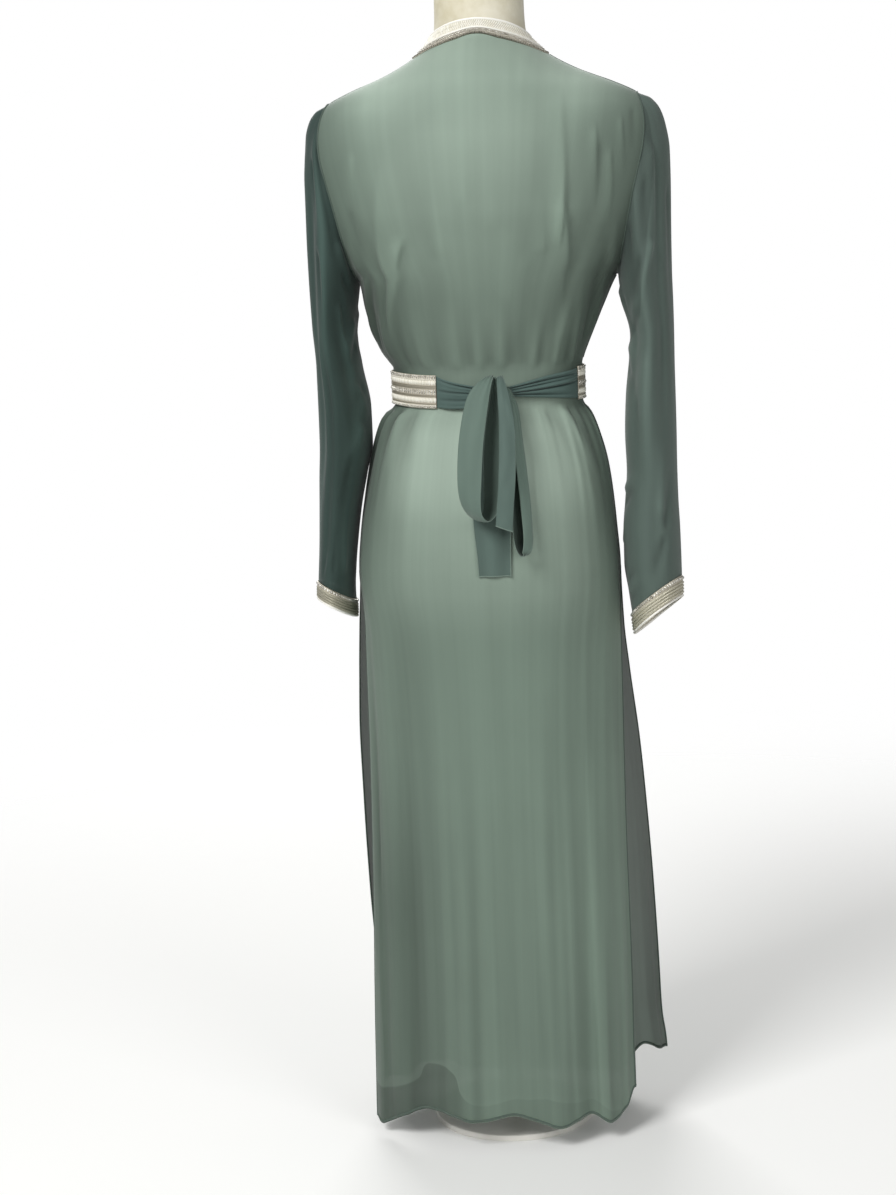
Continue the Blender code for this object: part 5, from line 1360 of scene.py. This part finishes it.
# Pleats of the ties, as the panels' creases: shares of the tie's length from the knot, and
# metres down from its upper edge where it is flat
SASH_PLEATS = {
    1: table(CREASE_FIELDS, (
        (-0.25, 0.0012, 1.5, 0.0012, 0.0018, 0.0021), (-0.25, 0.0045, 1.3, 0.003, 0.0012, -0.0031),
        (-0.25, 0.0075, 1.2, 0.005, 0.0018, 0.0018), (-0.15, 0.0125, 1.4, 0.019, 0.0013, -0.0031),
        (-0.25, 0.0165, 1, 0.014, 0.003, 0.0016), (-0.25, 0.024, 1.4, 0.029, 0.0016, -0.0018),
        (-0.25, 0.028, 1, 0.033, 0.003, 0.0013), (-0.25, 0.037, 1.5, 0.0372, 0.0014, 0.0016))),
    -1: table(CREASE_FIELDS, (
        (-0.25, 0.0035, 1.6, 0.0012, 0.0022, 0.0026), (-0.25, 0.009, 1.5, 0.0042, 0.0011, -0.0031),
        (-0.25, 0.014, 1.2, 0.006, 0.002, 0.0021), (-0.25, 0.018, 1.1, 0.008, 0.0009, -0.0021),
        (-0.25, 0.024, 1.5, 0.008, 0.0024, 0.0031), (-0.25, 0.031, 2, 0.001, 0.0013, -0.0044),
        (-0.15, 0.0315, 0.8, 0.033, 0.0013, -0.0034), (-0.1, 0.0285, 1.2, 0.023, 0.004, 0.0021),
        (-0.25, 0.0365, 1.4, 0.0368, 0.0018, 0.0018)))}
sage_sash = chiffon("Sage chiffon in layers", "4F635E", "556962", 0.0)


def sash(name, rows, hand, length, node):
    """A tie from the belt panel's end to the knot, pleated as its table says."""
    read = readers(rows)

    def spot(u, v):
        along = 1 - u if hand > 0 else u
        z = read["top"](along) + (read["bottom"](along) - read["top"](along)) * v
        out = REST + CLOTH + read["out"](along) + SASH_LIFT * ease(along / 0.4)
        place = waist_point(read["angle"](along), WAIST_Z, out)
        return Vector((place.x, place.y, z))

    def pleat(u, v, place):
        """Pleats flatten toward the belt panel and at the tie's edges."""
        from_knot = u if hand > 0 else 1 - u
        edge = ease(v / 0.06) * ease((1 - v) / 0.06)
        calm = ease((1 - from_knot) / 0.35)
        return crease_height(SASH_PLEATS[hand], from_knot, v * SASH_WIDTH, length) * (
            0.25 + 0.75 * calm) * (0.4 + 0.6 * edge)

    def looks(u, v, place):
        # Painted shade in the pleats' troughs
        return 0.0, min(max(-TROUGH_PAINTED_SHADE * pleat(u, v, place), 0.0), TROUGH_SHADE_MOST)

    return shell(name, 110, 96, spot, sage_sash, "sash", [node], size=(length, SASH_WIDTH),
                 thickness=0.0006, lift=pleat, looks=looks)


left_sash = sash("sash_left_cloth", SASH_LEFT, 1, 0.048, "sash_left")
right_sash = sash("sash_right_cloth", SASH_RIGHT, -1, 0.090, "sash_right")


# Bow: two loops and two tails of the same tie, cupped and soft, and the knot that they come
# out of. The long tail lies on the skirt behind the loops.
# A ribbon's middle line, its width there and its turn about the line
RIBBON_FIELDS = "x y z width turn"
LOOP_LEFT = table(RIBBON_FIELDS, (
    (-0.0078, 0.0945, 0.9862, 0.009, 0), (-0.006, 0.108, 0.9858, 0.012, 0),
    (-0.0015, 0.12, 0.9785, 0.018, 0), (0.0056, 0.1285, 0.962, 0.027, -2),
    (0.0107, 0.136, 0.938, 0.03, -6), (0.0152, 0.144, 0.905, 0.031, -10),
    (0.017, 0.151, 0.868, 0.031, -16), (0.0165, 0.154, 0.842, 0.031, -32),
    (0.012, 0.152, 0.824, 0.03, -48), (0.003, 0.144, 0.816, 0.029, -52),
    (-0.006, 0.135, 0.827, 0.028, -44), (-0.0095, 0.128, 0.855, 0.027, -26),
    (-0.01, 0.121, 0.895, 0.025, -14), (-0.0112, 0.114, 0.935, 0.018, -6),
    (-0.013, 0.109, 0.964, 0.011, 0), (-0.0134, 0.106, 0.979, 0.0095, 0),
    (-0.0134, 0.097, 0.9868, 0.0085, 0)))
TAIL_SHORT = table(RIBBON_FIELDS, (
    (-0.0202, 0.094, 0.9858, 0.006, 0), (-0.0208, 0.106, 0.985, 0.008, 0),
    (-0.0232, 0.118, 0.974, 0.012, 0), (-0.0275, 0.13, 0.948, 0.017, 0),
    (-0.0295, 0.14, 0.915, 0.02, 0), (-0.0288, 0.152, 0.87, 0.0205, 0),
    (-0.0262, 0.158, 0.835, 0.0205, 0), (-0.024, 0.16, 0.807, 0.021, 0)))
LOOP_RIGHT = table(RIBBON_FIELDS, (
    (-0.0266, 0.0958, 0.972, 0.012, 50), (-0.036, 0.111, 0.948, 0.018, 56),
    (-0.0415, 0.1215, 0.905, 0.02, 58), (-0.0465, 0.131, 0.86, 0.021, 58),
    (-0.0505, 0.137, 0.815, 0.021, 60), (-0.051, 0.1395, 0.785, 0.021, 62),
    (-0.0465, 0.14, 0.7725, 0.02, 62), (-0.0405, 0.139, 0.783, 0.02, 58),
    (-0.0385, 0.136, 0.815, 0.02, 54), (-0.0355, 0.129, 0.865, 0.019, 52),
    (-0.031, 0.116, 0.92, 0.016, 54), (-0.0255, 0.098, 0.96, 0.01, 60)))
TAIL_LONG = table("z x width out", (
    (0.9502, -0.0075, 0.022, 0.011), (0.92, -0.007, 0.032, 0.005), (0.87, -0.0062, 0.042, 0.0012),
    (0.82, -0.006, 0.046, 0.001), (0.743, -0.0078, 0.0395, 0.0015)))
# Radius of the bow's rolled hems, how far a ribbon's middle stands out, the cloth's thickness
BOW_HEM = 0.00045
CUP = 0.0014
TAIL_WALL = 0.0007


def ribbon(name, rows, finish, node, flat, end_slant=0.0, inside=(1.0, 1.0), tones=(0.0, 0.0)):
    """A ribbon swept along a smooth line through its rows, cupped and softly pleated. The
    inside is the share of its length that is seen on the loop's inner side, and the tones are
    the painted shade of its outer and inner sides, a painted highlight below 0."""
    def line(t):
        place = t * (len(rows) - 1)
        k = min(int(place), len(rows) - 2)
        f = place - k
        a, b, c, d = (rows[min(max(k + n, 0), len(rows) - 1)] for n in (-1, 0, 1, 2))
        return [0.5 * (2 * q + (r - p) * f + (2 * p - 5 * q + 4 * r - s) * f * f
                       + (3 * q - p - 3 * r + s) * f ** 3) for p, q, r, s in zip(a, b, c, d)]

    def frame_at(u, v):
        x, y, z, width, turn = line(v)
        before, after = line(max(v - 0.01, 0)), line(min(v + 0.01, 1))
        forward = Vector([q - p for p, q in zip(before[:3], after[:3])]).normalized()
        across = Vector((cos(radians(turn)), sin(radians(turn)), 0))
        across = (across - forward * across.dot(forward)).normalized()
        outward = across.cross(forward)
        s = u - 0.5
        place = Vector((x, y, z)) + across * width * s + outward * CUP * (1 - 4 * s * s)
        return place + forward * end_slant * s * ease((v - 0.7) / 0.3), across, outward

    def spot(u, v):
        return frame_at(u, v)[0]

    def lift(u, v, at):
        near = exp(-v / 0.10) + exp(-(1 - v) / 0.10) * (end_slant == 0.0)
        pleat = 0.0012 * min(near, 1.0) * cos(2 * pi * (u * 3 + 0.2))
        return pleat + 0.0010 * noise.noise(Vector((u * 2.2, v * 9, len(rows))))

    def looks(u, v, at):
        # Painted shade on the loop's inner side and on its outer side as the tones give, a painted
        # highlight below 0
        hidden = ease((v - inside[0]) / 0.08) * ease((inside[1] + 0.08 - v) / 0.08)
        return 0.0, tones[0] + (tones[1] - tones[0]) * hidden

    piece = shell(name, 22, 170, spot, finish, "sash", [node], lift=lift, size=flat,
                  thickness=TAIL_WALL, looks=looks)
    edges = []
    for u, hand in ((0.0, -1), (1.0, 1)):
        edge = []
        for k in range(111):
            place, across, outward = frame_at(u, k / 110)
            place += outward * lift(u, k / 110, place) - across * hand * BOW_HEM
            edge.append((place, outward, 0.0006, BOW_HEM))
        edges.append((edge, False))
    if end_slant:
        edge = []
        for k in range(17):
            place, across, outward = frame_at(k / 16, 0.997)
            edge.append((place + outward * lift(k / 16, 0.997, place), outward, 0.0010, BOW_HEM))
        edges.append((edge, False))
    hem = rolled(name + "_hem", edges, sage_edge_painted_highlight, "sash", 6)


tail_at = readers(TAIL_LONG)


def long_tail_spot(u, v):
    """The tail that hangs down the skirt behind the loops."""
    z = TAIL_LONG[0].z + (TAIL_LONG[-1].z - TAIL_LONG[0].z) * v
    x = tail_at["x"](z) + tail_at["width"](z) * (u - 0.5)
    half = trunk["left" if x > 0 else "right"](z)
    y = depth_at(1, z) * sqrt(1 - (x / half) ** 2)
    return Vector((x, y + tail_at["out"](z) + CLOTH, z))


def tail_lift(u, v, at):
    """Soft pleats at the top of the long tail and a slow sway below."""
    pleat = 0.0012 * exp(-v / 0.2) * cos(2 * pi * (u * 3 + 0.1))
    return pleat + 0.0010 * cos(2 * pi * (u * 1.5 + 0.2)) * v


sage_tail = chiffon("Sage chiffon tail", "576962", "5E6F67", 0.0)
sage_loop = chiffon("Sage chiffon loops", "66796F", "6D7F75", 0.0)
# The bow's rolled hems are paler than its ribbons: a painted highlight along the edges
sage_edge_painted_highlight = chiffon("Sage chiffon bow hems with painted highlight", "73847A", "73847A", 0.0)
long_tail = shell("bow_tail_long", 40, 130, long_tail_spot, sage_tail, "sash", ["tail_long"],
                  lift=tail_lift, size=(0.045, 0.21), thickness=TAIL_WALL)
edges = []
for path in ([(0.0, k / 100) for k in range(101)], [(1.0, k / 100) for k in range(101)],
             [(k / 30, 0.996) for k in range(31)]):
    edges.append(([(long_tail_spot(u, v) + Vector((0, 0.0004 + tail_lift(u, v, None), 0)),
                    Vector((0, 1, 0)), 0.0008, BOW_HEM) for u, v in path], False))
tail_hem = rolled("bow_tail_long_hem", edges, sage_edge_painted_highlight, "sash", 6)
# The loops' inner sides carry painted shade, and the right loop's outer side a painted highlight
ribbon("bow_loop_left", LOOP_LEFT, sage_loop, "loop_left", (0.029, 0.345), inside=(0.52, 0.86),
       tones=(0.03, 0.30))
ribbon("bow_loop_right", LOOP_RIGHT, sage_loop, "loop_right", (0.019, 0.420),
       inside=(0.48, 1.0), tones=(-0.22, 0.60))
ribbon("bow_tail_short", TAIL_SHORT, sage_tail, "tail_short", (0.021, 0.200), -0.006)

KNOT_CENTRE = (-0.0080, 0.0892, 0.9680)
KNOT_HALF = (0.0186, 0.0127, 0.0170)
# Depth of the knot's grooves as a share of its size
KNOT_GROOVE = 0.045
# Below 1 the knot is boxier than an ellipsoid
KNOT_ROUND = 0.8
bm = bmesh.new()
bmesh.ops.create_uvsphere(bm, u_segments=64, v_segments=40, radius=1.0)
for vert in bm.verts:
    x, y, z = vert.co
    groove = KNOT_GROOVE * cos(2 * pi * (x * 1.5 + 0.25 * z)) - 0.02
    shape = [abs(c) ** KNOT_ROUND * (1 if c > 0 else -1) for c in (x, y, z)]
    vert.co = [centre + half * c * (1 + groove)
               for centre, half, c in zip(KNOT_CENTRE, KNOT_HALF, shape)]
bow_knot = add_piece("bow_knot", bm, sage_sash, "sash", "knot")


# Floor: a plain pale floor, matt and smooth. It fades away between two distances from the
# stand, so that it meets the pale room without an edge.
FLOOR_CLEAR, FLOOR_GONE = 0.9, 2.6
floor_paint, tree, shader = new_finish("Pale matt floor", Roughness=0.8,
                                       Specular_IOR_Level=0.1)
shader.inputs["Base Color"].default_value = colour("FAFAF8")
place = add(tree, "TexCoord").outputs["Object"]
reach = add(tree, "VectorMath", {0: place}, operation="LENGTH")
fade = add(tree, "MapRange", {
    "Value": reach.outputs["Value"], "From Min": FLOOR_CLEAR, "From Max": FLOOR_GONE, "To Min": 1.0,
    "To Max": 0.0}, interpolation_type="SMOOTHSTEP")
tree.links.new(fade.outputs["Result"], shader.inputs["Alpha"])
bm = bmesh.new()
bmesh.ops.create_circle(bm, cap_ends=True, segments=128, radius=FLOOR_GONE)
floor = add_object("floor", bm, floor_paint)
floor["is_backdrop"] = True

# Light: a large soft box high beside the camera on the robe's left, a weaker and lower one on
# its right, one for the robe's front, and a pale room.
SoftBox = namedtuple("SoftBox", "name x y z aim_z size watts")
for box in (SoftBox("key_light", 1.7, 2.7, 3.3, 1.0, 1.6, 122.0),
            SoftBox("fill_light", -2.6, 2.8, 1.8, 0.8, 2.0, 34.0),
            SoftBox("front_light", 0.8, -3.6, 2.8, 0.9, 2.2, 100.0)):
    lamp = bpy.data.lights.new(box.name, "AREA")
    lamp.size = box.size
    lamp.energy = box.watts
    holder = bpy.data.objects.new(box.name, lamp)
    holder.location = (box.x, box.y, box.z)
    aim = Vector((0.0, 0.0, box.aim_z)) - holder.location
    holder.rotation_euler = aim.to_track_quat("-Z", "Y").to_euler()
    bpy.context.scene.collection.objects.link(holder)

world = bpy.data.worlds.new("Pale room")
world.use_nodes = True
tree = world.node_tree
seen = add(tree, "LightPath").outputs["Is Camera Ray"]
strength = add(tree, "MapRange", {"Value": seen, "To Min": 0.27, "To Max": 1.0})
tree.nodes["Background"].inputs["Color"].default_value = (1.0, 1.0, 1.0, 1.0)
tree.links.new(strength.outputs["Result"], tree.nodes["Background"].inputs["Strength"])
bpy.context.scene.world = world
bpy.context.scene.view_settings.view_transform = "Standard"

# Camera: about 3 m behind the robe and 1.2 m above the floor, a little to its right. It looks
# slightly down and is turned toward the robe.
CAMERA_AT = (-0.2615, 2.9886, 1.203)
TURN, DOWN, ROLL = radians(-173.763), radians(9.553), radians(-2.1)
lens = bpy.data.cameras.new("camera")
lens.sensor_fit = "VERTICAL"
lens.sensor_width = lens.sensor_height = 36.0
lens.lens = 71.16
camera = bpy.data.objects.new("camera", lens)
camera.matrix_world = (Matrix.Translation(CAMERA_AT) @ Matrix.Rotation(TURN, 4, "Z")
                       @ Matrix.Rotation(pi / 2 - DOWN, 4, "X") @ Matrix.Rotation(ROLL, 4, "Z"))
bpy.context.scene.collection.objects.link(camera)
bpy.context.scene.camera = camera

low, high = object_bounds()
